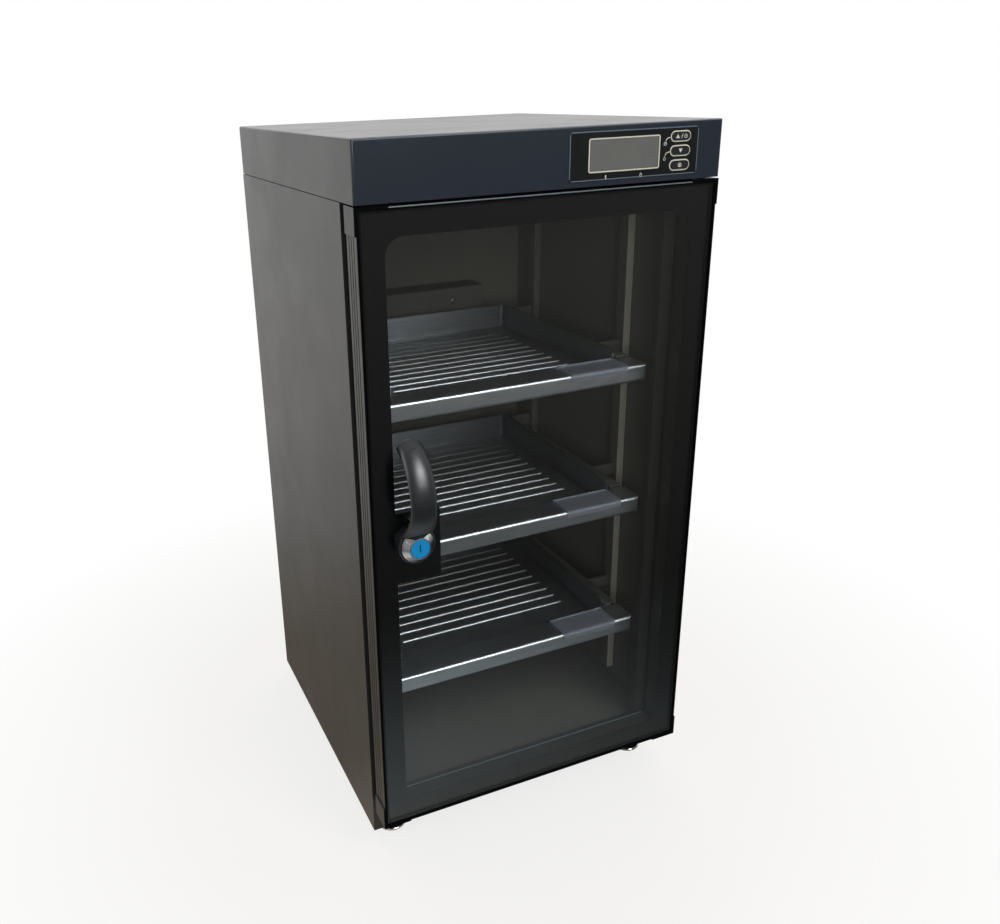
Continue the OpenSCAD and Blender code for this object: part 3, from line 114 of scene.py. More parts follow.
class Nodes:
    """Short names for building a node tree."""

    def __init__(self, tree):
        self.tree = tree

    def add(self, kind, **values):
        node = self.tree.nodes.new(kind)
        for key, value in values.items():
            setattr(node, key, value)
        return node

    def link(self, source, target):
        self.tree.links.new(source, target)

    def place(self, scale=(1, 1, 1)):
        """Object coordinates in metres, stretched."""
        coord = self.add("ShaderNodeTexCoord")
        mapping = self.add("ShaderNodeMapping")
        mapping.inputs["Scale"].default_value = scale
        self.link(coord.outputs["Object"], mapping.inputs["Vector"])
        return mapping.outputs["Vector"]

    def axes(self, vector):
        """The X, Y and Z of a vector."""
        node = self.add("ShaderNodeSeparateXYZ")
        self.link(vector, node.inputs["Vector"])
        return node.outputs

    def noise(self, scale, detail=3.0, stretch=(1, 1, 1)):
        node = self.add("ShaderNodeTexNoise")
        node.inputs["Scale"].default_value = scale
        node.inputs["Detail"].default_value = detail
        node.inputs["Roughness"].default_value = 0.55
        self.link(self.place(stretch), node.inputs["Vector"])
        return node.outputs["Fac"]

    def spread(self, value, low, high, start=0.3, end=0.7):
        """Maps a value between start and end to low and high."""
        node = self.add("ShaderNodeMapRange")
        for key, number in zip(("From Min", "From Max", "To Min", "To Max"), (start, end, low, high)):
            node.inputs[key].default_value = number
        self.link(value, node.inputs["Value"])
        return node.outputs["Result"]

    def blend(self, fac, first, second):
        """Two colours mixed; each is a colour or an output."""
        node = self.add("ShaderNodeMix", data_type="RGBA")
        self.link(fac, node.inputs["Factor"])
        for socket, colour in (("A", first), ("B", second)):
            target = next(i for i in node.inputs if i.name == socket and i.type == "RGBA")
            if isinstance(colour, tuple):
                target.default_value = colour
            else:
                self.link(colour, target)
        return next(o for o in node.outputs if o.type == "RGBA")

    def combine(self, operation, first, second):
        """Arithmetic on two values; each is a number or an output."""
        node = self.add("ShaderNodeMath", operation=operation)
        for socket, value in zip(node.inputs, (first, second)):
            if isinstance(value, (int, float)):
                socket.default_value = value
            else:
                self.link(value, socket)
        return node.outputs["Value"]

    def bump(self, height, distance):
        node = self.add("ShaderNodeBump")
        node.inputs["Distance"].default_value = distance
        node.inputs["Strength"].default_value = 1.0
        self.link(height, node.inputs["Height"])
        return node.outputs["Normal"]

    def mix(self, fac, first, second):
        """The first shader where fac is 0, the second where it is 1."""
        node = self.add("ShaderNodeMixShader")
        for socket, source in zip(node.inputs, (fac, first, second)):
            self.link(source, socket)
        return node.outputs["Shader"]


def seen_and_mirrored(nodes):
    """How much a ray is the eye's, also straight through clear pieces, and how much a mirror's."""
    path = nodes.add("ShaderNodeLightPath")
    through = path.outputs["Is Transmission Ray"]
    unmirrored = nodes.combine("LESS_THAN", path.outputs["Glossy Depth"], 0.5)
    unscattered = nodes.combine("LESS_THAN", path.outputs["Diffuse Depth"], 0.5)
    straight = nodes.combine(
        "MULTIPLY", nodes.combine("MULTIPLY", unmirrored, unscattered), through)
    seen = nodes.combine("MAXIMUM", path.outputs["Is Camera Ray"], straight)
    bounced = nodes.combine("MAXIMUM", path.outputs["Is Glossy Ray"], through)
    return seen, nodes.combine("SUBTRACT", bounced, straight)


def shader_of(material):
    return material.node_tree.nodes["Principled BSDF"]


def surface_of(material):
    """The socket that takes the material's last shader."""
    output = next(n for n in material.node_tree.nodes if n.type == "OUTPUT_MATERIAL")
    return output.inputs["Surface"]


def new_material(name, **constants):
    """A Principled material; constants are set on its own sockets."""
    material = bpy.data.materials.new(name)
    material.use_nodes = True
    shader = shader_of(material)
    for key, value in constants.items():
        shader.inputs[key.replace("_", " ")].default_value = value
    return material, Nodes(material.node_tree), shader


def vary_colour(nodes, shader, colour, amount, scale, stretch=(1, 1, 1)):
    """Soft patches a little darker and lighter than the colour."""
    patches = nodes.noise(scale, stretch=stretch)
    mixed = nodes.blend(nodes.spread(patches, 0, 1), scaled(colour, 1 - amount), scaled(colour, 1 + amount))
    nodes.link(mixed, shader.inputs["Base Color"])


def vary_roughness(nodes, shader, roughness, amount, scale, stretch=(1, 1, 1)):
    """Soft patches a little smoother and rougher than the roughness."""
    patches = nodes.noise(scale, stretch=stretch)
    nodes.link(nodes.spread(patches, roughness - amount, roughness + amount), shader.inputs["Roughness"])


# ---------------------------------------------------------------- kinds of material

def powder_coat(name, colour, roughness):
    """Satin paint on sheet steel: a fine orange peel and faint handling marks."""
    material, nodes, shader = new_material(name, IOR=1.42)
    vary_colour(nodes, shader, colour, amount=0.05, scale=9)
    vary_roughness(nodes, shader, roughness, amount=0.03, scale=14)
    peel = nodes.noise(420, detail=1)
    nodes.link(nodes.bump(peel, 0.000005), shader.inputs["Normal"])
    return material


def sheet_metal(name, colour, roughness, grain=(1, 30, 30), streaks=0.06):
    """Metal sheet with a faint rolling grain along x."""
    material, nodes, shader = new_material(name, Metallic=1.0)
    vary_colour(nodes, shader, colour, streaks, 40, grain)
    vary_roughness(nodes, shader, roughness, 0.05, 60, grain)
    lines = nodes.noise(300, detail=2, stretch=grain)
    nodes.link(nodes.bump(lines, 0.000006), shader.inputs["Normal"])
    return material


def chrome(name):
    """Bright plating, very slightly rippled."""
    material, nodes, shader = new_material(name, Metallic=1.0)
    vary_colour(nodes, shader, srgb(225, 226, 227), amount=0.02, scale=60)
    vary_roughness(nodes, shader, 0.08, amount=0.03, scale=120)
    ripple = nodes.noise(60, detail=1)
    nodes.link(nodes.bump(ripple, 0.00001), shader.inputs["Normal"])
    return material


def moulded(name, colour, roughness, texture=0.00001, coat=0.0):
    """Moulded plastic or rubber with a fine spark-eroded grain."""
    material, nodes, shader = new_material(name, IOR=1.48, Coat_Weight=coat, Coat_Roughness=0.12)
    vary_colour(nodes, shader, colour, amount=0.06, scale=25)
    vary_roughness(nodes, shader, roughness, amount=0.04, scale=35)
    grain = nodes.noise(1400, detail=2)
    nodes.link(nodes.bump(grain, texture), shader.inputs["Normal"])
    return material


def anodised(name, colour):
    """Extruded profile: dark anodising over fine die lines along its length."""
    material, nodes, shader = new_material(name, IOR=1.5, Metallic=0.25)
    vary_colour(nodes, shader, colour, amount=0.05, scale=20)
    vary_roughness(nodes, shader, 0.34, amount=0.04, scale=50)
    lines = nodes.noise(500, detail=2, stretch=(1, 1, 0.01))
    nodes.link(nodes.bump(lines, 0.000005), shader.inputs["Normal"])
    return material


def let_light_through(material, nodes, shader):
    """Shadow and matt rays pass a clear piece as if it were air, so that what is behind it is lit."""
    path = nodes.add("ShaderNodeLightPath")
    clear = nodes.add("ShaderNodeBsdfTransparent")
    passes = nodes.combine("MAXIMUM", path.outputs["Is Shadow Ray"], path.outputs["Is Diffuse Ray"])
    nodes.link(nodes.mix(passes, shader.outputs["BSDF"], clear.outputs["BSDF"]), surface_of(material))


def clear_glass(name, tint, roughness=0.0, clear=1.0):
    """Glass or clear plastic; clear is how much of it lets light through."""
    material, nodes, shader = new_material(name, IOR=1.45, Transmission_Weight=clear)
    vary_colour(nodes, shader, tint, amount=0.01, scale=5)
    vary_roughness(nodes, shader, roughness + 0.004, amount=0.004, scale=8)
    let_light_through(material, nodes, shader)
    return material


def print_ink(name, colour):
    """Screen-printed ink: a little uneven in cover."""
    material, nodes, shader = new_material(name, IOR=1.45)
    vary_colour(nodes, shader, colour, amount=0.05, scale=300)
    vary_roughness(nodes, shader, 0.5, amount=0.06, scale=400)
    return material


def bonded_film(name, colour):
    """A printed film that lies against glass: it has no sheen of its own."""
    material, nodes, shader = new_material(name, Roughness=0.7, Specular_IOR_Level=0.0)
    vary_colour(nodes, shader, colour, amount=0.06, scale=30)
    return material


def porous(name, colour):
    """Pressed drying agent."""
    material, nodes, shader = new_material(name, IOR=1.4)
    vary_colour(nodes, shader, colour, amount=0.15, scale=120)
    vary_roughness(nodes, shader, 0.85, amount=0.06, scale=100)
    nodes.link(nodes.bump(nodes.noise(700, detail=4), 0.0003), shader.inputs["Normal"])
    return material


def circuit_board(name):
    """Green solder mask with paler copper traces showing through."""
    material, nodes, shader = new_material(name, IOR=1.5)
    traces = nodes.add("ShaderNodeTexBrick")
    traces.inputs["Scale"].default_value = 160
    traces.inputs["Mortar Size"].default_value = 0.06
    traces.inputs["Color1"].default_value = srgb(22, 84, 52)
    traces.inputs["Color2"].default_value = srgb(18, 72, 45)
    traces.inputs["Mortar"].default_value = srgb(60, 130, 80)
    nodes.link(nodes.place(), traces.inputs["Vector"])
    nodes.link(traces.outputs["Color"], shader.inputs["Base Color"])
    vary_roughness(nodes, shader, 0.35, amount=0.05, scale=80)
    return material


def two_tone(material, colour, limits, sheen=None, socket="Specular IOR Level", level=0.5):
    """Gives a material a second colour inside a box, whose limits are (axis, comparison, place).

    With sheen, another of its sockets changes there too, from level to sheen.
    """
    nodes, shader = Nodes(material.node_tree), shader_of(material)
    first = shader.inputs["Base Color"].links[0].from_socket
    places = nodes.axes(nodes.place())
    within = 1.0
    for axis, operation, place in limits:
        within = nodes.combine("MULTIPLY", nodes.combine(operation, places[axis], place), within)
    nodes.link(nodes.blend(within, first, colour), shader.inputs["Base Color"])
    if sheen is not None:
        nodes.link(nodes.spread(within, level, sheen, 0, 1), shader.inputs[socket])
    return material


def inside_rim(box, rim):
    """The limits of a front-facing piece without its rim."""
    low, high = box
    return (("X", "GREATER_THAN", low.x + rim), ("X", "LESS_THAN", high.x - rim),
            ("Z", "GREATER_THAN", low.z + rim), ("Z", "LESS_THAN", high.z - rim))


def with_sheen(material, level):
    shader_of(material).inputs["Specular IOR Level"].default_value = level
    return material


# ---------------------------------------------------------------- the cabinet's materials

EDGE = 0.9 * MM             # how wide a painted highlight along an edge is
DARK_PAINT = srgb(38, 38, 37)
PAINTED_HIGHLIGHT = srgb(96, 108, 120)

CABINET_PAINT = powder_coat("cabinet_paint", DARK_PAINT, 0.34)

# The cover's front stands out bluer, with a painted highlight along its upper edge
COVER_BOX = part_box("top_cover")
COVER_FRONT = ("Y", "LESS_THAN", COVER_BOX[0].y + EDGE)
COVER_PAINT = two_tone(powder_coat("cover_paint", DARK_PAINT, 0.34), srgb(29, 36, 45), (COVER_FRONT,))
two_tone(COVER_PAINT, PAINTED_HIGHLIGHT, (COVER_FRONT, ("Z", "GREATER_THAN", COVER_BOX[1].z - EDGE)))

# The wall panels are dark outside and paler inside the chamber
PANEL_PAINT = two_tone(powder_coat("panel_paint", DARK_PAINT, 0.34), srgb(78, 77, 72), (
    ("X", "GREATER_THAN", LEFT + SHEET / 2), ("X", "LESS_THAN", -LEFT - SHEET / 2),
    ("Y", "LESS_THAN", BACK - SHEET / 2), ("Y", "GREATER_THAN", BODY_FRONT + RETURN)))
FRONT_PAINT = powder_coat("front_paint", srgb(40, 45, 54), 0.36)
INNER_PAINT = powder_coat("inner_paint", srgb(72, 71, 67), 0.5)
# The uprights' front faces are painted paler: a painted highlight where they face the light
POST_PAINT_WITH_HIGHLIGHT = two_tone(powder_coat("upright_paint_with_highlight", srgb(76, 75, 70), 0.45), srgb(140, 138, 129), (
    ("Y", "LESS_THAN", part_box("wall_uprights")[0].y + SHEET / 2),))

ZINC = sheet_metal("zinc", srgb(196, 198, 198), 0.3)
BRIGHT_ZINC = sheet_metal("bright_zinc", srgb(222, 222, 220), 0.16, (1, 1, 1))
BRONZE = sheet_metal("bronze", srgb(132, 112, 80), 0.42)
CHROME = chrome("chrome")
TRAY_GRAIN, TRAY_STREAKS = (0.6, 34, 34), 0.14
TRAY_METAL = sheet_metal("tray_metal", srgb(198, 203, 207), 0.33, TRAY_GRAIN, TRAY_STREAKS)
BASIN_METAL = sheet_metal("basin_metal", srgb(162, 166, 170), 0.42, TRAY_GRAIN, TRAY_STREAKS)

PROFILE_COLOUR = srgb(34, 34, 31)
RAIL_TOP, RAIL_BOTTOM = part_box("door_rail_top"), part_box("door_rail_bottom")
DOOR_FACE = ("Y", "LESS_THAN", RAIL_TOP[0].y + 1.2 * MM)
LEDGE_DEPTH, LEDGE_HEIGHT = 1.5 * MM, 1.2 * MM      # the painted highlight along the lower rail's edge behind the glass


def door_finish(material, *bright):
    """Darker on the door's front face, with a painted highlight along an edge where limits are given."""
    two_tone(material, srgb(9, 10, 11), (DOOR_FACE,), 0.0)
    if bright:
        two_tone(material, srgb(104, 116, 120), bright)
    return material


PROFILE = door_finish(anodised("door_profile", PROFILE_COLOUR))
# Painted highlights: along the upper rail's top front edge, and along the lower rail's top back edge behind
# the glass
TOP_PROFILE_WITH_HIGHLIGHT = door_finish(
    anodised("top_profile_with_highlight", PROFILE_COLOUR), DOOR_FACE, ("Z", "GREATER_THAN", RAIL_TOP[1].z - EDGE))
BOTTOM_PROFILE_WITH_HIGHLIGHT = door_finish(
    anodised("bottom_profile_with_highlight", PROFILE_COLOUR), ("Y", "GREATER_THAN", RAIL_BOTTOM[1].y - LEDGE_DEPTH),
    ("Z", "GREATER_THAN", RAIL_BOTTOM[1].z - LEDGE_HEIGHT))
CAP_PLASTIC = door_finish(moulded("cap_plastic", srgb(26, 27, 26), 0.38))

# The pane's rim, down in the profiles, is blacked so that no light is piped along it
PANE_BOX, PANE_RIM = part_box("door_glass"), 2.5 * MM
PANE = two_tone(clear_glass("glass", srgb(8, 9, 9)), (0.93, 0.95, 0.94, 1.0),
                inside_rim(PANE_BOX, PANE_RIM), 1.0, "Transmission Weight", 0.0)
MASK = bonded_film("mask_film", srgb(8, 9, 9))
LENS = bonded_film("lens", srgb(96, 96, 94))

# The panel's raised rim is painted paler, a painted highlight where it catches the light; its face inside
# the rim is darker
PANEL_BOX, PANEL_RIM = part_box("control_panel"), 0.9 * MM
PANEL_FACE_WITH_HIGHLIT_RIM = two_tone(moulded("panel_face_highlit_rim", srgb(84, 94, 104), 0.4, texture=0.000002),
                      srgb(11, 14, 15), inside_rim(PANEL_BOX, PANEL_RIM), 0.3)
PANEL_PLASTIC = moulded("panel_plastic", srgb(20, 23, 25), 0.42, texture=0.000002)
HANDLE_PLASTIC = with_sheen(moulded("handle_plastic", srgb(22, 25, 28), 0.34, texture=0.000001), 0.95)
LOCK_FACE = moulded("lock_face", srgb(18, 124, 178), 0.25, texture=0.000004, coat=0.6)
CLEAR_PLASTIC = with_sheen(clear_glass("clear_plastic", (0.3, 0.33, 0.38, 1.0), 0.12, 0.7), 0.3)
BLACK_PLASTIC = moulded("black_plastic", srgb(38, 39, 41), 0.5)
DRYER_PLASTIC = moulded("dryer_plastic", srgb(66, 65, 61), 0.5)
GASKET = moulded("gasket", srgb(12, 12, 13), 0.7)
BUSH = moulded("bush", srgb(224, 220, 208), 0.5)
DESICCANT = porous("desiccant", srgb(214, 208, 194))
BOARD = circuit_board("board")
INK = print_ink("panel_ink", srgb(196, 194, 180))

# The finish of each material slot, and of the nodes that differ from their slot
FINISH = {
    "cabinet_paint": CABINET_PAINT, "front_paint": FRONT_PAINT, "inner_paint": INNER_PAINT, "zinc": ZINC,
    "tray_metal": TRAY_METAL, "chrome": CHROME, "door_profile": PROFILE, "cap_plastic": CAP_PLASTIC,
    "glass": PANE, "mask_film": MASK, "gasket": GASKET, "handle_plastic": HANDLE_PLASTIC,
    "panel_plastic": PANEL_PLASTIC, "lens": LENS, "board": BOARD, "lock_face": LOCK_FACE,
    "clear_plastic": CLEAR_PLASTIC, "black_plastic": BLACK_PLASTIC, "desiccant": DESICCANT,
    "bronze": BRONZE, "bush": BUSH,
}
OWN_FINISH = {
    **{name: PANEL_PAINT for name in (
        "side_panel_left", "side_panel_right", "back_panel", "front_sill", "front_lintel")},
    **{name: BASIN_METAL for name in ("top_tray_basin", "middle_tray_basin", "bottom_tray_basin")},
    "control_panel": PANEL_FACE_WITH_HIGHLIT_RIM, "top_cover": COVER_PAINT, "door_rail_top": TOP_PROFILE_WITH_HIGHLIGHT,
    "door_rail_bottom": BOTTOM_PROFILE_WITH_HIGHLIGHT, "wall_uprights": POST_PAINT_WITH_HIGHLIGHT, "tray_slides": INNER_PAINT,
    "dryer_cover": DRYER_PLASTIC, "dryer_housing": DRYER_PLASTIC,
}


# ---------------------------------------------------------------- edges and shading

# Flat pieces keep flat shading and get their edges broken by this much, in millimetres
BROKEN_EDGES = {
    **{name: 0.4 for name in (
        "side_panel_left", "side_panel_right", "base_panel", "chamber_floor", "front_sill",
        "front_lintel", "ceiling_panel", "wall_uprights", "tray_slides", "hinge_bracket_top",
        "hinge_bracket_bottom", "lock_keeper")},
    **{name: 0.5 for name in CORNER_CAPS},
    **{name: 0.25 for name in ("door_stile_left", "door_stile_right", "door_rail_top", "door_rail_bottom")},
    "control_panel": 0.5, "dryer_cover": 0.3, "dryer_housing": 0.6, "humidity_sensor": 0.5,
    "power_inlet": 0.5, "power_supply": 0.5, "lock_cam": 0.3, "lock_nut": 0.3,
}
KEPT_FLAT = (
    "back_panel", "door_glass", "glass_border", "control_board", "desiccant_block", "dryer_heater",
    "dryer_shutter")
CREASE = math.radians(32)       # a sharper edge than this is an edge, a softer one is part of a curve
WELD = 0.000002


def dress_nodes():
    """Each CAD node gets its finish, broken edges where it is flat, soft shading where it is round."""
    slots = {part["node"]: part["material_slot"] for part in frame["record"]["subparts"]}
    for name, node in NODES.items():
        node.data.materials.clear()
        node.data.materials.append(OWN_FINISH.get(name, FINISH[slots[name]]))
        if name in BROKEN_EDGES:
            break_edges(node, BROKEN_EDGES[name] * MM)
        elif name not in KEPT_FLAT:
            shade_round(node)


def weld(node):
    node.modifiers.new("weld", "WELD").merge_threshold = WELD


def break_edges(node, width):
    weld(node)
    bevel = node.modifiers.new("edges", "BEVEL")
    bevel.width = width
    bevel.segments = 2
    bevel.limit_method = "ANGLE"
    bevel.angle_limit = CREASE


def shade_round(node):
    """Shades curved faces smooth; the large flat ones keep their own normals."""
    node.data.shade_smooth()
    weld(node)
    node.modifiers.new("creases", "EDGE_SPLIT").split_angle = CREASE
    node.modifiers.new("normals", "WEIGHTED_NORMAL").mode = "FACE_AREA"


# ---------------------------------------------------------------- drawing with ink

class Print:
    """Ink shapes on a plane that faces the front, gathered into one thin mesh."""

    FILM = 0.04 * MM

    def __init__(self, y):
        self.y = y
        self.work = bmesh.new()

    def points(self, outline):
        return [self.work.verts.new((x, self.y, z)) for x, z in outline]

    def fill(self, outline):
        self.work.faces.new(self.points(outline))

    def band(self, outer, inner, closed=True):
        """The strip between two rows of points."""
        a, b = self.points(outer), self.points(inner)
        count = len(a) if closed else len(a) - 1
        for i in range(count):
            j = (i + 1) % len(a)
            self.work.faces.new((a[i], a[j], b[j], b[i]))

    def stroke(self, path, width):
        """A line of constant width along an open path."""
        left, right = [], []
        for i, (x, z) in enumerate(path):
            before, after = path[max(i - 1, 0)], path[min(i + 1, len(path) - 1)]
            along = Vector((after[0] - before[0], after[1] - before[1])).normalized() * (width / 2)
            left.append((x - along.y, z + along.x))
            right.append((x + along.y, z - along.x))
        self.band(left, right, closed=False)

    def bow(self, centre, radius, line, start, end, count):
        """Part of a ring, or a whole one from 0 to 360 degrees."""
        self.band(arc(centre, radius, start, end, count), arc(centre, radius - line, start, end, count),
                  closed=False)

    def finish(self, name, body):
        top = bmesh.ops.extrude_face_region(self.work, geom=self.work.faces[:])
        moved = [v for v in top["geom"] if isinstance(v, bmesh.types.BMVert)]
        bmesh.ops.translate(self.work, verts=moved, vec=(0, -self.FILM, 0))
        return make_piece(name, self.work, INK, body)


def make_piece(name, work, material, body):
    """A new visible piece that rides on a body."""
    bmesh.ops.recalc_face_normals(work, faces=work.faces)
    mesh = bpy.data.meshes.new(name)
    work.to_mesh(mesh)
    work.free()
    piece = bpy.data.objects.new(name, mesh)
    bpy.context.scene.collection.objects.link(piece)
    mesh.materials.append(material)
    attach(piece, body)
    return piece


def arc(centre, radius, start, end, count):
    """Points on an arc, in degrees from +x towards +z."""
    return [
        (centre[0] + radius * math.cos(math.radians(start + (end - start) * i / count)),
         centre[1] + radius * math.sin(math.radians(start + (end - start) * i / count)))
        for i in range(count + 1)
    ]


CORNER_STEPS = 8


def round_box(centre, width, height, radius):
    """A rectangle with round corners, as points in x and z."""
    x, z = width / 2 - radius, height / 2 - radius
    points = []
    for sx, sz, start in ((1, -1, -90), (1, 1, 0), (-1, 1, 90), (-1, -1, 180)):
        points += arc((centre[0] + sx * x, centre[1] + sz * z), radius, start, start + 90, CORNER_STEPS)
    return points


def rounded_frame(ink, centre, width, height, radius, line):
    ink.band(round_box(centre, width, height, radius),
             round_box(centre, width - 2 * line, height - 2 * line, radius - line))


def middle(name):
    low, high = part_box(name)
    return (low + high) / 2


def triangle(centre, size, up):
    """A play-style triangle that points up or down."""
    x, z = centre
    half, rise = size * 0.56, size / 2 * (1 if up else -1)
    foot = z - rise * 0.9
    return [(x - half, foot), (x + half, foot), (x, z + rise)]


def power_mark(ink, centre, radius, line):
    """An open ring with a stroke in its gap."""
    ink.bow(centre, radius, line, 125, 415, 24)
    ink.stroke([(centre[0], centre[1] + radius * 0.1), (centre[0], centre[1] + radius * 1.25)], line)


def droplet(ink, centre, size, line):
    """The outline of a water drop."""
    x, belly = centre[0], centre[1] - size * 0.18

    def drop(r):
        return arc((x, belly), r, -216, 36, 20) + [(x, belly + r * 1.9)]
    ink.band(drop(size * 0.36), drop(size * 0.36 - line))


def thermometer(ink, centre, size, line):
    """A tube over a bulb."""
    x, z = centre
    bulb = size * 0.2
    ink.fill(arc((x, z - size * 0.3), bulb, 0, 345, 23))
    rounded_frame(ink, (x, z + size * 0.1), bulb * 1.5, size * 0.78, bulb * 0.7, line)


def clock(ink, centre, radius):
    """A ring with two hands."""
    x, z = centre
    ink.bow(centre, radius, MARK_LINE, 0, 360, 20)
    ink.stroke([(x, z + radius * 2 / 3), centre, (x + radius * 7 / 15, z)], FINE_LINE)


# ---------------------------------------------------------------- the panel's and the keys' marks

LINE = 1.0 * MM                     # frames round the display and the keys
MARK_LINE = 0.45 * MM               # marks on the panel
FINE_LINE = 0.4 * MM                # what is finer in them
KEY_LINE = 0.55 * MM                # marks on the keys
LEADER_LINE = 0.7 * MM              # from a key to the mark of what it sets
MARK = 3.4 * MM                     # size of a mark

LENS_GAP, LENS_CORNER = 0.1 * MM, 2.0 * MM
UNDER_LENS = 1.5 * MM               # below the middle of the strip under the display
THERMOMETER_IN, DROPLET_IN = 16 * MM, 17 * MM       # from the display's left and right ends

KEY_RING = (20.8 * MM, 9.2 * MM)
KEY_CORNER = KEY_RING[1] / 2 - 0.01 * MM            # a little less than round, so that no points meet
LEADER_START = (0.3 * MM, 0.6 * MM)                 # left of the key's ring, below its middle
LEADER_KNEE = (1.6 * MM, 0.8 * MM)
LEADER_BEND = 3.2 * MM
LEADER_MARK = (5.2 * MM, 5.6 * MM)
CLOCK_RADIUS = 1.5 * MM

# On the keys, from each key's middle
ARROW = (-3.6 * MM, 0)
SLASH = ((0.1 * MM, -1.8 * MM), (1.5 * MM, 1.8 * MM))
POWER, POWER_RADIUS = (4.6 * MM, -0.2 * MM), 1.6 * MM
RING_RADIUS, DOT_RADIUS = 1.9 * MM, 0.75 * MM


def shifted(point, offset):
    """A point in x and z, away from the middle of a piece."""
    return (point.x + offset[0], point.z + offset[1])


def add_panel_print():
    """Lines round the display and the keys, and plain marks in place of words."""
    panel_low, panel_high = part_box("control_panel")
    face = panel_low.y
    ink = Print(face)
    low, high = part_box("display_window")
    lens = middle("display_window")
    around = 2 * (LINE + LENS_GAP)
    rounded_frame(ink, (lens.x, lens.z), high.x - low.x + around, high.z - low.z + around, LENS_CORNER, LINE)
    under = (low.z + panel_low.z) / 2 - UNDER_LENS
    thermometer(ink, (low.x + THERMOMETER_IN, under), MARK, MARK_LINE)
    droplet(ink, (high.x - DROPLET_IN, under), MARK, MARK_LINE)
    for name in BUTTONS:
        key = middle(name)
        rounded_frame(ink, (key.x, key.z), *KEY_RING, KEY_CORNER, LINE)
        if name != "button_set":
            mark = add_leader(ink, key)
            if name == "button_up":
                clock(ink, mark, CLOCK_RADIUS)
            else:
                droplet(ink, mark, MARK, FINE_LINE)
    ink.finish("panel_print", "cabinet")
    add_key_marks()


def add_leader(ink, key):
    """A short bent line from an upper key towards the mark of what it sets; gives the mark's place."""
    side = key.x - KEY_RING[0] / 2
    start, knee, mark = (
        (side - x, key.z - z) for x, z in (LEADER_START, LEADER_KNEE, LEADER_MARK))
    bend = arc((knee[0], knee[1] - LEADER_BEND), LEADER_BEND, 100, 170, 8)
    ink.stroke([start, knee] + bend, LEADER_LINE)
    return mark


def add_key_marks():
    """An arrow and a power mark, an arrow, and a dot in a ring; each rides on its own key."""
    up, down, choose = (middle(name) for name in BUTTONS)
    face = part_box("button_up")[0].y
    ink = Print(face)
    ink.fill(triangle(shifted(up, ARROW), MARK, True))
    ink.stroke([shifted(up, end) for end in SLASH], KEY_LINE)
    power_mark(ink, shifted(up, POWER), POWER_RADIUS, KEY_LINE)
    ink.finish("up_mark", "up_button")
    ink = Print(face)
    ink.fill(triangle((down.x, down.z), MARK, False))
    ink.finish("down_mark", "down_button")
    ink = Print(face)
    centre = (choose.x, choose.z)
    ink.bow(centre, RING_RADIUS, KEY_LINE, 0, 360, 24)
    ink.fill(arc(centre, DOT_RADIUS, 0, 342, 19))
    ink.finish("set_mark", "set_button")


# ---------------------------------------------------------------- screws

HEAD_SIDES, SHANK_SIDES = 28, 14
HEAD_PROFILE = ((1.0, 0.0), (1.0, 0.45), (0.93, 0.72), (0.78, 0.92), (0.62, 1.0))   # of radius and height
CROSS_ARM, CROSS_HALF = 0.5, 0.1            # the recess's arms, of the head's radius
CROSS_FLOOR, CROSS_DEPTH = 0.75, 0.55       # its floor, of its mouth; its depth, of the head's height
HEAD_RIM = 0.98                             # a point farther out than this is on the head's side
THREAD_PITCH = 0.8 * MM
THREAD_ROOT = 0.86                          # of the shank's radius


def islands(node):
    """The separate shells of a node, as lists of points."""
    work = bmesh.new()
    work.from_mesh(node.data)
    bmesh.ops.remove_doubles(work, verts=work.verts, dist=WELD)
    left = set(work.verts)
    shells = []
    while left:
        front = [left.pop()]
        shell = []
        while front:
            vert = front.pop()
            shell.append(vert.co.copy())
            for edge in vert.link_edges:
                other = edge.other_vert(vert)
                if other in left:
                    left.remove(other)
                    front.append(other)
        shells.append(shell)
    work.free()
    return shells


def ring(work, centre, y, radius, sides):
    """Points round a line that runs from front to back."""
    turns = [2 * math.pi * i / sides for i in range(sides)]
    return [work.verts.new((centre[0] + radius * math.cos(t), y, centre[1] + radius * math.sin(t)))
            for t in turns]


def bridge(work, rings):
    """The walls between rings that follow each other."""
    for lower, upper in zip(rings, rings[1:]):
        for i in range(len(lower)):
            j = (i + 1) % len(lower)
            work.faces.new((lower[i], lower[j], upper[j], upper[i]))


def cross(centre, arm, half):
    """The outline of a cross recess, in order round its centre."""
    x, z = centre
    corners = []
    for turn in range(4):
        c, s = math.cos(turn * math.pi / 2), math.sin(turn * math.pi / 2)
        for u, v in ((half, half), (arm, half), (arm, -half)):
            corners.append((x + c * u - s * v, z + s * u + c * v))
    return sorted(corners, key=lambda p: math.atan2(p[1] - z, p[0] - x))


def pan_head(work, centre, seat, radius, height, facing):
    """A domed head with a cross recess; facing is 1 towards the back and -1 towards the front."""
    x, z = centre
    rings = [ring(work, centre, seat + facing * height * h, radius * k, HEAD_SIDES) for k, h in HEAD_PROFILE]
    bridge(work, rings)
    work.faces.new(rings[0])
    corners = cross(centre, radius * CROSS_ARM, radius * CROSS_HALF)
    top = seat + facing * height
    deep = top - facing * height * CROSS_DEPTH
    rim = [work.verts.new((px, top, pz)) for px, pz in corners]
    floor = [work.verts.new((x + (px - x) * CROSS_FLOOR, deep, z + (pz - z) * CROSS_FLOOR))
             for px, pz in corners]
    edges = [work.edges.get((rings[-1][i], rings[-1][(i + 1) % HEAD_SIDES])) for i in range(HEAD_SIDES)]
    edges += [work.edges.new((rim[i], rim[(i + 1) % len(rim)])) for i in range(len(rim))]
    bmesh.ops.triangle_fill(work, use_beauty=True, edges=edges)
    bridge(work, (rim, floor))
    work.faces.new(floor)


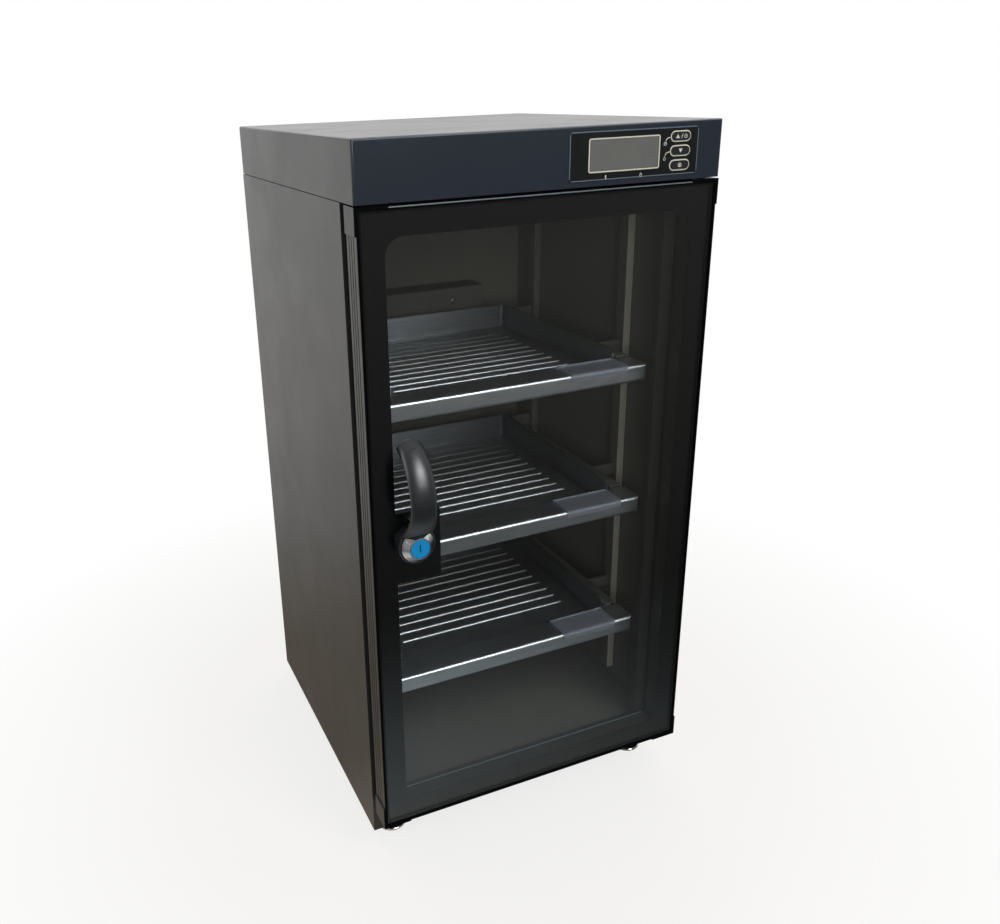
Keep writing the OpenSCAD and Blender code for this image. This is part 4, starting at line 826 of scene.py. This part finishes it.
def add_shank(work, centre, start, end, radius):
    """A threaded shank: rings that swell and shrink at the pitch of the thread."""
    turns = max(2, round(abs(end - start) / (THREAD_PITCH / 2)))
    rings = [
        ring(work, centre, start + (end - start) * row / turns,
             radius * (1.0 if row % 2 == 0 else THREAD_ROOT), SHANK_SIDES)
        for row in range(turns + 1)
    ]
    bridge(work, rings)
    work.faces.new(rings[0])
    work.faces.new(rings[-1])


def add_screws():
    """Cross-recessed pan heads on threaded shanks, where the CAD has plain ones."""
    work = bmesh.new()
    for shell in islands(NODES["machine_screws"]):
        xs, ys, zs = ([p[k] for p in shell] for k in range(3))
        x, z = (min(xs) + max(xs)) / 2, (min(zs) + max(zs)) / 2
        radius = (max(xs) - min(xs)) / 2
        shank = min(math.hypot(p.x - x, p.z - z) for p in shell)
        wide = [p.y for p in shell if math.hypot(p.x - x, p.z - z) > radius * HEAD_RIM]
        facing = -1 if min(wide) - min(ys) < 0.1 * MM else 1
        seat = max(wide) if facing < 0 else min(wide)
        tip = max(ys) if facing < 0 else min(ys)
        pan_head(work, (x, z), seat, radius, max(wide) - min(wide), facing)
        add_shank(work, (x, z), seat, tip, shank)
    screws = make_piece("screws_with_recess", work, BRIGHT_ZINC, "cabinet")
    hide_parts("machine_screws")


# ---------------------------------------------------------------- stage

STUDIO_BELOW, STUDIO_ABOVE = (1.0, 0.93, 0.82, 1), (1.0, 0.985, 0.955, 1)
WHITE = (1, 1, 1, 1)

FLOOR_RADIUS = 0.75
FLOOR_COLOUR = (0.6, 0.57, 0.53, 1)
FLOOR_WHITE = 0.78        # how much of the floor's seen brightness is plain white
# Colours of the painted glow that mirrors and sheens see on the floor
GLOW_FRONT, GLOW_BESIDE = (0.86, 0.96, 1.0, 1), (1.0, 0.86, 0.7, 1)

# Name, place, what it points at, size and watts
LAMPS = (
    ("key", (0.6, -1.6, 1.9), (0, -0.1, 0.35), (0.8, 0.6), 16),
    ("front", (0.5, -2.0, 1.5), (0, -0.1, 0.35), (1.3, 0.9), 12),
    ("top", (0.5, 1.7, 1.9), (0, 0, 0.6), (2.8, 1.4), 15),
    ("side", (-2.2, -0.4, 1.6), (0, 0, 0.35), (1.4, 1.4), 8),
    ("fill", (-0.6, -1.8, 0.8), (0.1, 0, 0.4), (1.2, 0.8), 16),
)


def add_world():
    """A studio that lights more from behind and above than from the front and below.

    What is seen behind the cabinet, also straight through clear pieces, is plain white. Mirrors and
    sheens see white as far as the studio is bright there.
    """
    world = bpy.data.worlds.new("studio")
    world.use_nodes = True
    nodes = Nodes(world.node_tree)
    studio = world.node_tree.nodes["Background"]
    output = world.node_tree.nodes["World Output"]
    direction = nodes.axes(nodes.add("ShaderNodeTexCoord").outputs["Generated"])
    towards_back = nodes.spread(direction["Y"], low=0.12, high=1.0, start=-0.35, end=0.45)
    upward = nodes.spread(direction["Z"], low=0.3, high=1.0, start=-0.45, end=0.02)
    level = nodes.combine("MULTIPLY", towards_back, upward)
    nodes.link(level, studio.inputs["Strength"])
    nodes.link(nodes.blend(upward, STUDIO_BELOW, STUDIO_ABOVE), studio.inputs["Color"])
    seen, bounced = seen_and_mirrored(nodes)
    mirrored = nodes.combine("MULTIPLY", bounced, level)
    white = nodes.add("ShaderNodeBackground")
    white.inputs["Color"].default_value = WHITE
    light = nodes.mix(
        nodes.combine("MAXIMUM", seen, mirrored), studio.outputs["Background"], white.outputs["Background"])
    nodes.link(light, output.inputs["Surface"])
    bpy.context.scene.world = world


def floor_glow(nodes):
    """What mirrors and sheens see of the floor: a painted glow, brightest and cool just in front of the
    cabinet.

    It falls off farther in front and to the right, and it is warmer and dimmer beside the cabinet.
    """
    places = nodes.axes(nodes.place())
    near = nodes.spread(places["Y"], low=0.05, high=0.6, start=-0.6, end=-0.22)
    along = nodes.spread(places["Y"], low=1.0, high=0.5, start=-0.2, end=0.0)
    across = nodes.spread(places["X"], low=1.0, high=0.3, start=-0.17, end=0.25)
    beside = nodes.spread(places["Y"], low=0, high=1, start=-0.25, end=-0.1)
    glow = nodes.add("ShaderNodeEmission")
    nodes.link(nodes.combine("MULTIPLY", nodes.combine("MULTIPLY", near, along), across),
               glow.inputs["Strength"])
    nodes.link(nodes.blend(beside, GLOW_FRONT, GLOW_BESIDE), glow.inputs["Color"])
    return glow.outputs["Emission"]


def add_floor():
    """A round pale floor that fades into the background, mostly white where it is seen directly."""
    mesh = bpy.data.meshes.new("floor")
    work = bmesh.new()
    bmesh.ops.create_circle(work, cap_ends=True, segments=96, radius=FLOOR_RADIUS)
    work.to_mesh(mesh)
    work.free()
    floor = bpy.data.objects.new("floor", mesh)
    bpy.context.scene.collection.objects.link(floor)
    material, nodes, shader = new_material("floor", Roughness=0.8)
    vary_colour(nodes, shader, FLOOR_COLOUR, amount=0.01, scale=4)
    seen, mirrored = seen_and_mirrored(nodes)
    white = nodes.add("ShaderNodeEmission")
    bright = nodes.mix(
        nodes.combine("MULTIPLY", seen, FLOOR_WHITE), shader.outputs["BSDF"], white.outputs["Emission"])
    lit = nodes.mix(mirrored, bright, floor_glow(nodes))
    gradient = nodes.add("ShaderNodeTexGradient", gradient_type="SPHERICAL")
    nodes.link(nodes.place((1 / FLOOR_RADIUS,) * 3), gradient.inputs["Vector"])
    fade = nodes.spread(gradient.outputs["Fac"], low=0, high=1, start=0.02, end=0.55)
    clear = nodes.add("ShaderNodeBsdfTransparent")
    nodes.link(nodes.mix(fade, clear.outputs["BSDF"], lit), surface_of(material))
    mesh.materials.append(material)


def add_lamp(name, place, aim, size, watts):
    data = bpy.data.lights.new(name, "AREA")
    data.shape = "RECTANGLE"
    data.size, data.size_y = size
    data.energy = watts
    lamp = bpy.data.objects.new(name, data)
    lamp.location = place
    lamp.rotation_euler = (Vector(aim) - Vector(place)).to_track_quat("-Z", "Y").to_euler()
    bpy.context.scene.collection.objects.link(lamp)
    return lamp


def add_stage():
    add_world()
    add_floor()
    lamps = {name: add_lamp(name, *values) for name, *values in LAMPS}
    # The fill lamp lights without being mirrored in the glass or seen through it
    lamps["fill"].visible_glossy = lamps["fill"].visible_transmission = False


# ---------------------------------------------------------------- make it

def main():
    add_camera()
    dress_nodes()
    add_panel_print()
    add_screws()
    add_stage()


main()
scene = bpy.context.scene
scene.view_settings.view_transform = "Standard"
